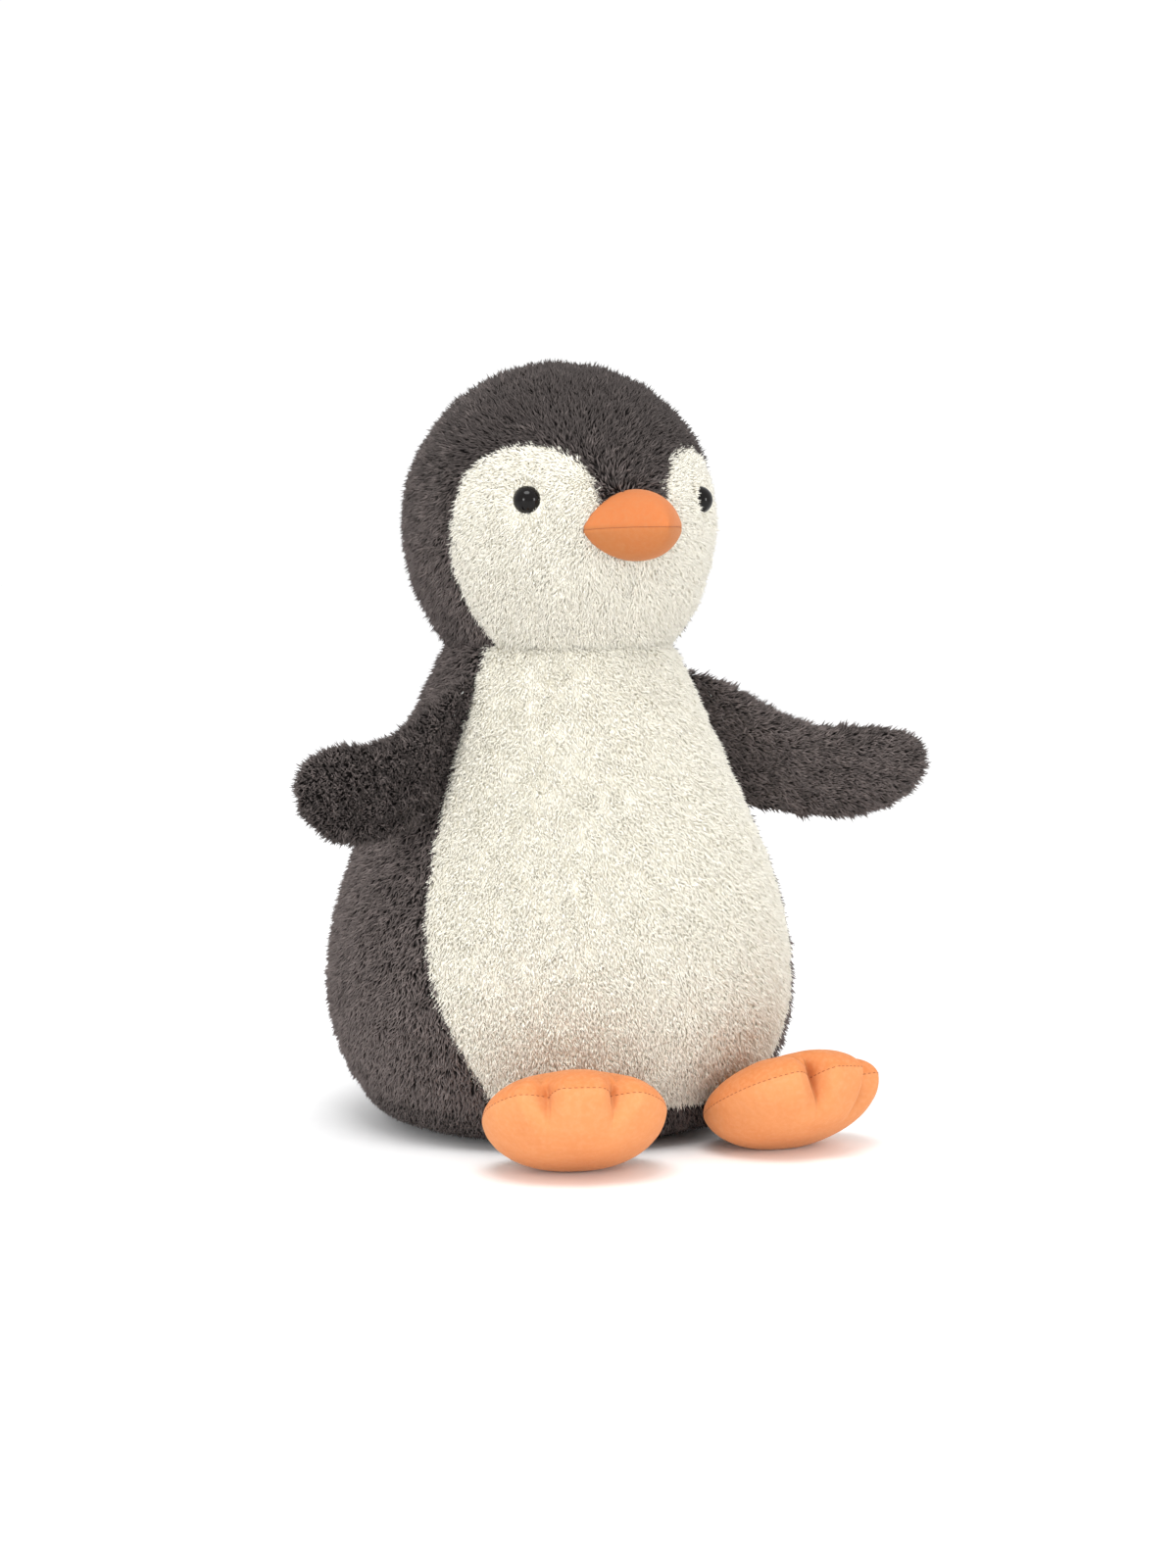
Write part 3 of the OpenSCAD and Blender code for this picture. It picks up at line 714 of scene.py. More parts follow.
def pile_tree():
    """Geometry Nodes that grow pile on a backing: points, turned and bent tufts, their map."""
    tree = bpy.data.node_groups.get("Pile")
    if tree:
        return tree
    tree, nodes, given = new_tree("Pile", (
        ("Backing", "Geometry"), ("Tuft", "Object"), ("Per square millimetre", "Float"),
        ("Tuft length", "Float"), ("Tuft width", "Float"), ("Lift", "Float"), ("Lean", "Float"),
        ("Clump", "Float"), ("Clump scale", "Float"), ("Seed", "Int"), ("Fabric", "Material"),
    ), "Fur")
    named = {
        name: nodes.add("GeometryNodeInputNamedAttribute", {"data_type": kind}, {"Name": name})
        for name, kind in (("pile", "FLOAT"), ("flow", "FLOAT_VECTOR"), ("trim", "FLOAT"),
                           ("along", "FLOAT"), ("shift", "FLOAT"), ("shade", "FLOAT"),
                           ("tone", "FLOAT"))
    }
    density = given["Per square millimetre"] * named["pile"] * 1e6
    points = nodes.add(
        "GeometryNodeDistributePointsOnFaces", {"distribute_method": "RANDOM"},
        {"Mesh": given["Backing"], "Density": density, "Seed": given["Seed"]},
    )
    normal = Socket(nodes, points.socket.node.outputs["Normal"])
    place = nodes.add("GeometryNodeInputPosition")
    swirl = nodes.noise(place, given["Clump scale"], 2.0, 0.6, 1)
    swirl = nodes.vector("SUBTRACT", swirl, (0.5, 0.5, 0.5))
    swirl = nodes.vector("SCALE", swirl, given["Clump"] * 2)
    stray = nodes.add(
        "FunctionNodeRandomValue", {"data_type": "FLOAT_VECTOR"},
        {0: (-0.22, -0.22, -0.22), 1: (0.22, 0.22, 0.22), 8: given["Seed"]},
    )
    way = nodes.vector("ADD", nodes.vector("SCALE", normal, given["Lift"]),
                       nodes.vector("SCALE", named["flow"], given["Lean"]))
    way = nodes.vector("ADD", way, nodes.vector("ADD", swirl, stray))
    # A tuft never points back into the fabric
    sink = nodes.vector("DOT_PRODUCT", way, normal, "Value")
    raised = nodes.add("ShaderNodeMath", {"operation": "MAXIMUM"}, {0: 0.22 - sink, 1: 0.0})
    way = nodes.vector("ADD", way, nodes.vector("SCALE", normal, raised))
    upright = nodes.add("FunctionNodeAlignRotationToVector", {"axis": "Z"}, {"Vector": way})

    def chance(low, high, seed):
        return nodes.add(
            "FunctionNodeRandomValue", {"data_type": "FLOAT"},
            {2: low, 3: high, 8: given["Seed"] + seed}, 1,
        )

    twist = nodes.add(
        "FunctionNodeAxisAngleToRotation", None, {"Axis": (0, 0, 1), "Angle": chance(0, 2 * math.pi, 1)}
    )
    turned = nodes.add(
        "FunctionNodeRotateRotation", {"rotation_space": "LOCAL"}, {0: upright, 1: twist}
    )
    width = given["Tuft width"] * chance(0.65, 1.3, 2)
    tall = given["Tuft length"] * chance(0.7, 1.18, 3) * named["trim"]
    size = nodes.add("ShaderNodeCombineXYZ", None, {0: width, 1: width, 2: tall})
    one = nodes.add("GeometryNodeObjectInfo", None, {"Object": given["Tuft"]}, "Geometry")
    tufts = nodes.add(
        "GeometryNodeInstanceOnPoints", None,
        {"Points": points, "Instance": one, "Rotation": turned, "Scale": size},
    )
    # A tuft's shade: painted light and shade of clumps that lie different ways, a random tone of its own,
    # and the panel's painted light and shade from the tone attribute
    clump_light_and_shade = nodes.noise(place, given["Clump scale"] * 2, 2.0)
    tone = (clump_light_and_shade - 0.5) * 1.7 + chance(-0.2, 0.2, 4) + named["tone"] + 0.5
    tone = nodes.add("ShaderNodeClamp", None, {0: tone, 1: 0.0, 2: 0.96})
    tufts = nodes.add(
        "GeometryNodeStoreNamedAttribute", {"data_type": "FLOAT", "domain": "INSTANCE"},
        {"Geometry": tufts, "Name": "shade", "Value": tone},
    )
    both = nodes.add("GeometryNodeJoinGeometry")
    joined = both.socket.node
    tree.links.new(given["Backing"].socket, joined.inputs[0])
    tree.links.new(tufts.socket, joined.inputs[0])
    whole = nodes.add("GeometryNodeRealizeInstances", None, {"Geometry": both})
    spot = nodes.add(
        "ShaderNodeCombineXYZ", None, {0: named["shade"] + named["shift"], 1: named["along"]}
    )
    mapped = nodes.add(
        "GeometryNodeStoreNamedAttribute", {"data_type": "FLOAT2", "domain": "CORNER"},
        {"Geometry": whole, "Name": UV_MAP, "Value": spot},
    )
    clothed = nodes.add(
        "GeometryNodeSetMaterial", None, {"Geometry": mapped, "Material": given["Fabric"]}
    )
    nodes.add("NodeGroupOutput", None, {0: clothed})
    return tree


def through_tree(piece, tree, values):
    """Runs a piece through a tree and keeps the result as its plain mesh."""
    modifier = piece.modifiers.new(tree.name, "NODES")
    modifier.node_group = tree
    sockets = {s.name: s.identifier for s in tree.interface.items_tree if s.in_out == "INPUT"}
    for name, value in values.items():
        modifier[sockets[name]] = value
    graph = bpy.context.evaluated_depsgraph_get()
    mesh = bpy.data.meshes.new_from_object(
        piece.evaluated_get(graph), preserve_all_data_layers=True, depsgraph=graph
    )
    piece.modifiers.remove(modifier)
    old, piece.data = piece.data, mesh
    bpy.data.meshes.remove(old)
    mesh.name = piece.name
    return piece


def grow(piece, fabric, per_mm, seed, lean=1.0, clump=1.0, lift=1.0, size=1.0):
    """Grows pile on a backing and tidies the attributes that made it."""
    p = pile()
    through_tree(piece, pile_tree(), {
        "Tuft": tuft(), "Per square millimetre": per_mm, "Tuft length": p.tuft_length * size,
        "Tuft width": p.tuft_width * size, "Lift": p.lift * lift, "Lean": p.lean * lean,
        "Clump": p.clump * clump, "Clump scale": p.clump_scale, "Seed": seed, "Fabric": fabric,
    })
    for name in ("pile", "flow", "trim", "along", "shift", "shade", "tone"):
        layer = piece.data.attributes.get(name)
        if layer:
            piece.data.attributes.remove(layer)
    return piece


def backing_layers(piece, flow, outer_points, outer_faces, thin=None, trim=None, tone=0.0):
    """Attributes that the pile reads: where it grows, how it lies, how long it is and its map."""
    mesh = piece.data
    count = len(mesh.vertices)
    pad = count - outer_points
    grows = np.zeros(len(mesh.polygons))
    grows[:outer_faces] = 1 if thin is None else thin
    store(mesh, "pile", "FLOAT", "FACE", grows)
    store(mesh, "flow", "FLOAT_VECTOR", "POINT", np.vstack([flow.reshape(-1, 3), np.zeros((pad, 3))]))
    lengths = np.ones(outer_points) if trim is None else trim.ravel()
    store(mesh, "trim", "FLOAT", "POINT", np.r_[lengths, np.ones(pad)])
    # Painted light and shade of the pile, added to each tuft's shade
    tones = np.broadcast_to(tone, outer_points) if np.ndim(tone) == 0 else tone.ravel()
    store(mesh, "tone", "FLOAT", "POINT", np.r_[tones, np.zeros(pad)])
    order = np.arange(count)
    store(mesh, "shade", "FLOAT", "POINT", 0.2 + 0.5 * np.abs(np.sin(order * 1.7)))
    store(mesh, "along", "FLOAT", "POINT", 0.03 + 0.05 * np.abs(np.sin(order * 2.3)))
    store(mesh, "shift", "FLOAT", "POINT", np.zeros(count))


def panel(name, surface, normals, flow, thin=None, trim=None, tone=0.0):
    """A closed backing over a grid, drawn in at its seams, ready for pile."""
    p = pile()
    rows, cols = surface.shape[:2]
    dip = p.seam_depth * np.exp(-((seam_distance(surface) / p.seam_reach) ** 2))
    outer = surface - normals * (p.backing_depth + dip)[..., None]
    inner = surface - normals * p.backing_inner
    points = np.vstack([outer.reshape(-1, 3), inner.reshape(-1, 3)])
    facing = np.cross(outer[rows // 2, cols // 2 + 1] - outer[rows // 2, cols // 2],
                      outer[rows // 2 + 1, cols // 2] - outer[rows // 2, cols // 2])
    turned = np.dot(facing, normals[rows // 2, cols // 2]) < 0
    n = rows * cols
    top = grid_faces(rows, cols, 0, turned)
    under = grid_faces(rows, cols, n, not turned)
    ids = np.arange(n).reshape(rows, cols)
    loop = np.r_[ids[0, :-1], ids[:-1, -1], ids[-1, :0:-1], ids[:0:-1, 0]]
    after = np.roll(loop, -1)
    wall = np.stack([loop, loop + n, after + n, after], -1)
    wall = wall[:, ::-1] if turned else wall
    piece = mesh_object(name, points, np.vstack([top, under, wall]))
    shares = None
    if thin is not None:
        t = thin
        shares = ((t[:-1, :-1] + t[1:, :-1] + t[:-1, 1:] + t[1:, 1:]) / 4).ravel()
    backing_layers(piece, flow, n, len(top), shares, trim, tone)
    return piece


def dark_fabric():
    c = colours()
    # A wide range from 0.16 to 1.95 of the tip colour: painted light streaks and painted shade in the
    # charcoal pile
    return pile_material("charcoal_pile", c.dark_root_painted_shade, c.dark_tip, 0.16, 0.16, 1.95)


def cream_fabric():
    c = colours()
    return pile_material("cream_pile", c.cream_root_painted_shade, c.cream_tip, 0.2, 0.95, 1.04)


def grow_plush(piece, slot, per_mm, seed):
    """Grows the pile of one of the two plushes, of which the charcoal one is longer."""
    if slot == "dark_plush":
        return grow(piece, dark_fabric(), per_mm, seed, size=pile().dark_size, lift=DARK_LIFT)
    return grow(piece, cream_fabric(), per_mm, seed)


def orange_fabric():
    c = colours()
    return nap_material("orange_nap", c.orange_upper, c.orange_sole)


def place_piece(piece, body, nodes=(), bend=None):
    """Places a finished piece: parents it to the body it rides on, or only bakes its place into its mesh
    where a bend is given, and hides the nodes it stands for.
    """
    if bend:
        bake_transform(piece)
    else:
        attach(piece, body)
    if nodes:
        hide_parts(*nodes)


# ---- operators ----


class Build:
    """What every building operator shares."""

    bl_options = {"REGISTER", "UNDO"}


class PENGUIN_OT_stage(Build, bpy.types.Operator):
    """Camera, white floor, white world and three soft lights"""

    bl_idname = "penguin.stage"
    bl_label = "Camera and stage"

    def execute(self, context):
        scene = context.scene
        data = bpy.data.cameras.new("camera")
        data.lens, data.clip_start, data.clip_end = LENS, 0.05, 60
        camera = put("camera", data)
        scene.camera = camera
        turn = math.atan2(-CAMERA_AT.x, -CAMERA_AT.y) + math.radians(CAMERA_TURN)
        tip = math.radians(CAMERA_TIP)
        view = Vector((math.sin(turn) * math.cos(tip), math.cos(turn) * math.cos(tip), math.sin(tip)))
        camera.location = CAMERA_AT
        turn_to(camera, view)
        self.floor()
        self.world(scene)
        for softbox in SOFTBOXES:
            self.softbox(*softbox)
        scene.view_settings.view_transform = "Standard"
        return {"FINISHED"}

    def floor(self):
        def paint(nodes):
            place = nodes.add("ShaderNodeTexCoord", None, None, "Object")
            fine = nodes.noise(place, 90.0, 3.0)
            return {
                "Base Color": nodes.mix(fine, *FLOOR_TONES),
                "Roughness": 0.6 + fine * 0.1,
                "Specular IOR Level": 0.2,
            }

        half = FLOOR_HALF
        corners = [(-half, -half, 0), (half, -half, 0), (half, half, 0), (-half, half, 0)]
        floor = mesh_object("floor", corners, [(0, 1, 2, 3)], False)
        floor.data.materials.append(material("white_floor", paint))

    def world(self, scene):
        world = bpy.data.worlds.new("studio")
        world.use_nodes = True
        world.node_tree.nodes.clear()
        nodes = Nodes(world.node_tree)
        glow = nodes.add("ShaderNodeBackground", None, {"Color": (1, 1, 1, 1), "Strength": WORLD_GLOW})
        nodes.add("ShaderNodeOutputWorld", None, {"Surface": glow})
        scene.world = world

    def softbox(self, name, where, size, power, form):
        data = bpy.data.lights.new(name, "AREA")
        data.shape, data.size, data.size_y, data.energy = form, *size, power
        light = put(name, data)
        light.location = where
        turn_to(light, LIT_MIDDLE - light.location)


def head_flow(points, normals, side):
    """Lie of the pile on the head: away from the beak, then down, with a slant of its own."""
    away = unit(points - np.array(BEAK_MID)) * 0.8
    down = np.array([0, 0, -1.0]) * np.clip(1 - (points[..., 2:] - HEAD_Z) / HEAD_R, 0.15, 1.4)
    lie = away + down * 0.7 + np.array([0.32, 0.12 * side, 0])
    return laid(lie, normals)


def near_eyes(points, flow, normals):
    """(thinning, length, flow) of the pile round the eyes, which it leaves free."""
    thin, trim = np.ones(points.shape[:2]), np.ones(points.shape[:2])
    for _, sign in SIDES:
        way = aim(sign * shape().eye_side, shape().eye_up)
        offset = points - on_head((0, 0, HEAD_Z) + way)[0]
        reach = np.linalg.norm(offset, axis=-1)
        close = np.clip((EYE_PARTED - reach) / EYE_PARTED_FADE, 0, 1)[..., None]
        flow = flow * (1 - close) + laid(offset, normals) * close * 1.5
        thin = thin * np.clip((reach - EYE_BARE) / EYE_BARE_FADE, 0, 1)
        trim = trim * (1 - EYE_SHORTEN * np.clip((EYE_SHORT - reach) / EYE_SHORT_FADE, 0, 1))
    return thin, trim, flow


def under_beak(points):
    """Thinning of the pile that the beak covers."""
    low, high = BEAK_BOX
    mid_z, half_w, half_h = (low.z + high.z) / 2, high.x, (high.z - low.z) / 2
    apart = np.hypot(points[..., 0] / half_w, (points[..., 2] - mid_z) / half_h)
    return np.where(points[..., 1] < 0, np.clip((apart - BEAK_COVER) / BEAK_COVER_FADE, 0, 1), 1)


class PENGUIN_OT_head(Build, bpy.types.Operator):
    """Charcoal sides and cream cheeks of the head"""

    bl_idname = "penguin.head"
    bl_label = "Head panels"

    def execute(self, context):
        grid = pile().grid
        neck = -NECK_ANGLE - NECK_TUCK
        edge = np.vstack([CHEEK_SEAM[CHEEK_SEAM[:, 1] > neck + 0.5], (CHEEK_END, neck)])
        cols, rows = (int(run / grid) for run in HEAD_SIDE_RUN)
        wide, tall = (int(run / grid) for run in CHEEK_RUN)
        for side, sign in SIDES:

            def line(stations, count):
                return head_line(np.array(stations) * (sign, 1), count)

            seam, back = line(edge, cols), line([(180, 90), (180, neck)], cols)
            crown = line([FRONT_SEAM, (0, 89.9)], rows)
            nape = line([(CHEEK_END, neck), (180, neck)], rows)
            self.make("head_side_" + side, patch(seam, back, crown, nape), sign, "dark_plush")
            upper = line(edge[:CHEEK_CORNER + 1], wide + 1)
            lower = line([(0, neck), (CHEEK_END, neck)], wide + 1)
            middle, rim = line([FRONT_SEAM, (0, neck)], tall), line(edge[CHEEK_CORNER:], tall)
            self.make("cheek_" + side, patch(upper, lower, middle, rim), sign, "cream_plush")
        return {"FINISHED"}

    def make(self, name, grid, sign, slot):
        surface, normals = on_head(grid)
        flow = head_flow(surface, normals, sign)
        thin, trim, flow = near_eyes(surface, flow, normals)
        thin = thin * under_beak(surface)
        dark = slot == "dark_plush"
        # Painted shade on the charcoal crown and forehead, deepest high up at the front, passed on as the
        # tone attribute
        high = (np.clip((surface[..., 2] - HEAD_Z + 0.02) / (0.9 * HEAD_R), 0, 1)
                * np.clip(0.62 - 0.8 * surface[..., 1] / HEAD_R, 0.12, 1))
        tone = HEAD_PAINTED_TONE - HEAD_PAINTED_SHADE_FALL * high if dark else 0.0
        piece = panel(name + "_fur", surface, normals, flow, thin, trim, tone)
        tufts = HEAD_SIDE_TUFTS if dark else CHEEK_TUFTS
        grow_plush(piece, slot, tufts, 11 + 7 * sign + dark)
        place_piece(piece, "head", [name])


def neck_bend():
    """Heights between which the body's pieces turn with the head."""
    return (0, 0, NECK_Z - NECK_BEND[0]), (0, 0, NECK_Z + NECK_BEND[1])


def flipper_bend(side, sign):
    """Places between which a flipper's pieces turn with its joint."""
    out = flipper_frame(getattr(shape(), "droop_" + side))["out"]
    root, away = Vector(JOINT[side + "_flipper_swing"]["pos_m"]), Vector(out * (sign, 1, 1))
    return root - away * FLIPPER_BEND[0], root + away * FLIPPER_BEND[1]


class PENGUIN_OT_body(Build, bpy.types.Operator):
    """Cream belly, charcoal back panels and base of the body"""

    bl_idname = "penguin.body"
    bl_label = "Body panels"

    def execute(self, context):
        grid = pile().grid
        low, high = BODY_LINE[0][0], NECK_Z + 5 * MM
        cols, rows = (int(run / grid) for run in BODY_RUN)
        heights = low + (high - low) * np.linspace(0, 1, rows)
        share = (heights - low) / (high - low)
        half = np.radians(np.interp(share, *BELLY_SEAM.T))
        across = np.linspace(-1, 1, cols)
        self.make("belly_panel", half[:, None] * across, heights, "cream_plush", BELLY_TUFTS, 31)
        for side, sign in SIDES:
            away = np.linspace(0, 1, cols)
            turns = sign * (half[:, None] * (1 - away) + math.pi * away)
            self.make("back_" + side, turns, heights, "dark_plush", BACK_TUFTS, 40 + sign)
        self.base(grid)
        return {"FINISHED"}

    def make(self, name, turns, heights, slot, tufts, seed):
        z = np.broadcast_to(heights[:, None], turns.shape)
        surface, normals = body_point(turns, z)
        down = np.array([0.16, 0, -1.0])
        flow = laid(down, normals)
        tone = 0.0
        # Painted light at the foot of each back panel, falling to a little painted shade at the neck
        if slot == "dark_plush":
            tone = BACK_PAINTED_LIGHT - BACK_PAINTED_LIGHT_FALL * (z - heights[0]) / (heights[-1] - heights[0])
        piece = panel(name + "_fur", surface, normals, flow, tone=tone)
        grow_plush(piece, slot, tufts, seed)
        place_piece(piece, "head", [name], neck_bend())

    def base(self, grid):
        """The round base: flat on the floor, curving up to the back and belly."""
        rim_z = BODY_LINE[0][0]
        cols = int(2 * math.pi * BODY_LINE[0][1] / grid)
        turns = np.linspace(0, 2 * math.pi, cols, endpoint=False)
        rise = rim_z * (1 - np.cos(np.linspace(0, math.pi / 2, 12)))
        flat_r = np.linspace(0.004, body_radius(0.0) - 0.002, 20)
        radii = np.r_[flat_r, body_radius(rise)]
        heights = np.r_[np.zeros(len(flat_r)), rise]
        slope = unit(np.gradient(np.stack([radii, heights], 1), axis=0))
        out = np.stack([slope[:, 1], -slope[:, 0]], 1)
        p = pile()
        deep = np.r_[np.full(len(flat_r), 1.3 * MM), np.linspace(1.4 * MM, p.backing_depth, 6),
                     np.linspace(p.backing_depth, p.backing_depth + p.seam_depth, 6)]

        def ring(inset):
            line = np.stack([radii, heights], 1) - out * inset[:, None]
            flat = np.stack([np.sin(turns), -np.cos(turns)], 1)
            return np.concatenate([line[:, None, :1] * flat, np.repeat(line[:, None, 1:], cols, 1)], 2)

        rows = len(radii)
        outer, inner = ring(deep), ring(np.full(rows, p.backing_inner))
        n = rows * cols
        points = np.vstack([outer.reshape(-1, 3), [(0, 0, outer[0, 0, 2])],
                            inner.reshape(-1, 3), [(0, 0, inner[0, 0, 2])]])
        last = n - cols
        j = np.arange(cols)
        k = (j + 1) % cols
        wall = np.stack([last + j, last + k, n + 1 + last + k, n + 1 + last + j], -1)
        skin = [*grid_faces(rows, cols, 0, False, True), *fan(n, 0, cols, True)]
        lining = [*grid_faces(rows, cols, n + 1, True, True), *fan(2 * n + 1, n + 1, cols, False)]
        piece = mesh_object("base_panel_fur", points, [*skin, *lining, *wall])
        normals = ring(np.full(rows, -1.0)) - ring(np.zeros(rows))
        down = np.zeros_like(normals) + np.array([0.3, 0.4, 0])
        steep = heights / rim_z
        down = down * (1 - steep)[:, None, None] + np.array([0, 0, -1.0]) * steep[:, None, None]
        flow = laid(down, normals)
        flow = flow * np.where(heights < 3 * MM, 6.0, 1.0)[:, None, None]
        flow = np.vstack([flow.reshape(-1, 3), [(1.5, 2, 0)]])
        trim = np.repeat(np.where(heights < 3 * MM, 0.55, 0.55 + 0.45 * steep), cols)
        thin = np.repeat(np.where(heights[1:] < 1 * MM, 0.45, 1.0), cols)
        thin = np.r_[thin, np.full(cols, 0.3)]
        backing_layers(piece, flow, n + 1, len(skin), thin, np.r_[trim, 0.5])
        grow(piece, dark_fabric(), BASE_TUFTS, 57, clump=0.5, lift=0.8)
        self.rest_on_floor(piece)
        place_piece(piece, "body", ["base_panel"])

    def rest_on_floor(self, piece):
        """Presses pile that would reach under the floor flat on it."""
        co = np.zeros(len(piece.data.vertices) * 3)
        piece.data.vertices.foreach_get("co", co)
        z, low = co[2::3], 0.25 * MM
        co[2::3] = np.where(z < low, low * np.exp(z / (2 * MM) - 0.125), z)
        piece.data.vertices.foreach_set("co", co)


def flipper_frame(droop):
    """Edge points and directions of the left flipper's flat pattern."""
    s = shape()
    seam = s.seam_side
    seam_out = aim(seam, 0.0)
    seam_back = np.array([math.cos(seam), math.sin(seam), 0])
    top_z = NECK_Z - s.flipper_drop
    top, low = (np.array([float(body_radius(z)) + FLIPPER_GAP, z])
                for z in (top_z, top_z - s.flipper_root))
    mid = (top + low) / 2
    out = np.array([math.cos(droop), -math.sin(droop)])
    rise = np.array([math.sin(droop), math.cos(droop)])
    turn = unit(low - top)
    heart = mid + 0.5 * s.flipper_length * out - 0.15 * s.flipper_width * rise
    edge = (mid + FLIPPER_EDGE[:, :1] * s.flipper_length * out
            + FLIPPER_EDGE[:, 1:] * s.flipper_width * rise)
    curve = smooth_line(np.vstack([top, edge, low]), 6)
    root = low + (top - low) * np.linspace(0, 1, 18)[1:-1, None]
    line = spread(np.vstack([curve, root, top]), 121)[:-1]
    root_out = -turn[1] * seam_out + np.array([0, 0, turn[0]])
    ahead = s.flipper_forward
    return {
        "edge": line, "heart": heart, "top": top, "turn": turn,
        "start": top[0] * seam_out + np.array([0, 0, top[1]]),
        "along": turn[0] * seam_out + np.array([0, 0, turn[1]]),
        "out": math.cos(ahead) * root_out - math.sin(ahead) * seam_back,
        "back": math.cos(ahead) * seam_back + math.sin(ahead) * root_out,
    }


def flipper_points(f, share, side, inset):
    """Ring of points on one side of the flipper at a share of the way to its edge."""
    offset = f["edge"] - f["heart"]
    reach = np.linalg.norm(offset, axis=1, keepdims=True)
    p = f["heart"] + offset * share * (reach - inset) / reach
    rel = p - f["top"]
    along = rel @ f["turn"]
    out = f["turn"][0] * rel[:, 1] - f["turn"][1] * rel[:, 0]
    puff = puffed(share, *FLIPPER_PUFF)
    root = np.minimum(1, (np.abs(out) + ROOT_THIN) / ROOT_TAPER)
    rise = side * (shape().flipper_thick / 2 - inset) * puff * root
    out = out - ROOT_DRAWN * np.exp(-((out / ROOT_REACH) ** 2))
    return (f["start"] + along[:, None] * f["along"] + out[:, None] * f["out"]
            + rise[:, None] * f["back"])


class PENGUIN_OT_flippers(Build, bpy.types.Operator):
    """Two stuffed flippers with pile on both sides"""

    bl_idname = "penguin.flippers"
    bl_label = "Flippers"

    def execute(self, context):
        for side, sign in SIDES:
            self.make(side, sign, getattr(shape(), "droop_" + side))
        return {"FINISHED"}

    def make(self, side, sign, droop):
        f = flipper_frame(droop)
        inset = pile().backing_depth
        shares = np.sin(np.linspace(0, math.pi / 2, 15))[1:]
        front = [flipper_points(f, s, -1, inset) for s in shares]
        back = [flipper_points(f, s, 1, inset) for s in shares[:-1]]
        cols, rows = len(f["edge"]), len(shares)
        ends = [flipper_points(f, 0.0, k, inset)[:1] for k in (-1, 1)]
        points = np.vstack([*front, *back[::-1], *ends])
        points[:, 0] *= sign
        piece = closed_piece(side + "_flipper_fur", points, 2 * rows - 1, cols, sign > 0)
        lie = (f["out"] * 0.9 + np.array([0, 0, -0.35])) * (sign, 1, 1)
        flow = np.repeat(unit(lie)[None], len(points), 0)
        # Painted shade on the flipper, deeper on the right one
        tone = FLIPPER_PAINTED_SHADE[side]
        backing_layers(piece, flow, len(points), len(piece.data.polygons), tone=tone)
        grow(piece, dark_fabric(), FLIPPER_TUFTS, 70 + sign, size=0.95 * pile().dark_size, lift=1.2)
        nodes = [side + "_flipper_front", side + "_flipper_back"]
        place_piece(piece, side + "_flipper", nodes, flipper_bend(side, sign))


def beak_grid():
    """Rings of the beak from its seat to just before its tip."""
    low, high = BEAK_BOX
    lift = BEAK_SEAM_Z - HEAD_Z
    around = np.radians(np.arange(0, 360, 3.75))
    up = np.where(np.sin(around) > 0, high.z - BEAK_SEAM_Z, BEAK_SEAM_Z - low.z)
    rising = np.sign(np.sin(around)) * np.abs(np.sin(around)) ** BEAK_CORNER
    x0, z0 = high.x * np.cos(around), lift + up * rising
    seat_r = head_radius(np.arcsin(z0 / HEAD_R)) + BEAK_GAP
    seat_y = -np.sqrt(seat_r**2 - x0**2 - z0**2)
    nearest = np.minimum(np.abs(np.sin(around / 2)), np.abs(np.cos(around / 2))) * 2
    seam = np.exp(-((np.degrees(nearest) / BEAK_SEAM_WIDTH) ** 2))
    rings = []
    for gone in np.sin(np.linspace(0, math.pi / 2, 26))[:-1]:
        slim, roof = puffed(gone, *BEAK_SLIM), puffed(gone, *BEAK_ROOF)
        corner = BEAK_CORNER + (1 - BEAK_CORNER) * gone
        tall = np.sign(np.sin(around)) * np.abs(np.sin(around)) ** corner
        tuck = 1 - seam * BEAK_SEAM_DEPTH * (1 - gone**4)
        ripple = 1 + BEAK_RIPPLE * seam * np.sin(gone * BEAK_RIPPLES)
        droop = -BEAK_DROOP * np.cos(around) ** 2 * (1 - gone) ** 2
        rings.append(np.stack([
            x0 * slim * tuck * ripple,
            seat_y + (low.y - seat_y) * gone,
            BEAK_SEAM_Z + up * tall * roof * tuck + droop,
        ], 1))
    return rings


class PENGUIN_OT_beak(Build, bpy.types.Operator):
    """Stuffed beak of two halves, drawn in along its seam"""

    bl_idname = "penguin.beak"
    bl_label = "Beak"

    def execute(self, context):
        rings = beak_grid()
        cols = len(rings[0])
        tuck = rings[0] * (BEAK_TUCK, 1, 1) + (0, BEAK_TUCK_DEPTH, 0)
        tuck[:, 2] = BEAK_SEAM_Z + (tuck[:, 2] - BEAK_SEAM_Z) * BEAK_TUCK
        rings = [tuck, *rings]
        behind = tuck[:, 1].mean() + BEAK_END_DEPTH
        ends = [(0, behind, BEAK_SEAM_Z), (0, BEAK_BOX[0].y, BEAK_SEAM_Z)]
        points = np.vstack([*rings, ends])
        piece = closed_piece("beak_padded", points, len(rings), cols)
        # Share of the lower half, whose darker colour is painted shade under the beak
        store(piece.data, "sole", "FLOAT", "POINT",
              np.clip((BEAK_SEAM_Z - points[:, 2]) / (2 * MM) + 0.5, 0, 1))
        c = colours()
        piece.data.materials.append(nap_material("beak_nap", c.beak_upper, c.beak_lower))
        place_piece(piece, "head", ["beak_upper", "beak_lower"])
        for side, start in (("left", 0), ("right", cols // 2)):
            line = [ring[start] for ring in rings[1:]]
            stitch_line("beak_stitches_" + side, line, "head", step=BEAK_STITCH_STEP)
        return {"FINISHED"}


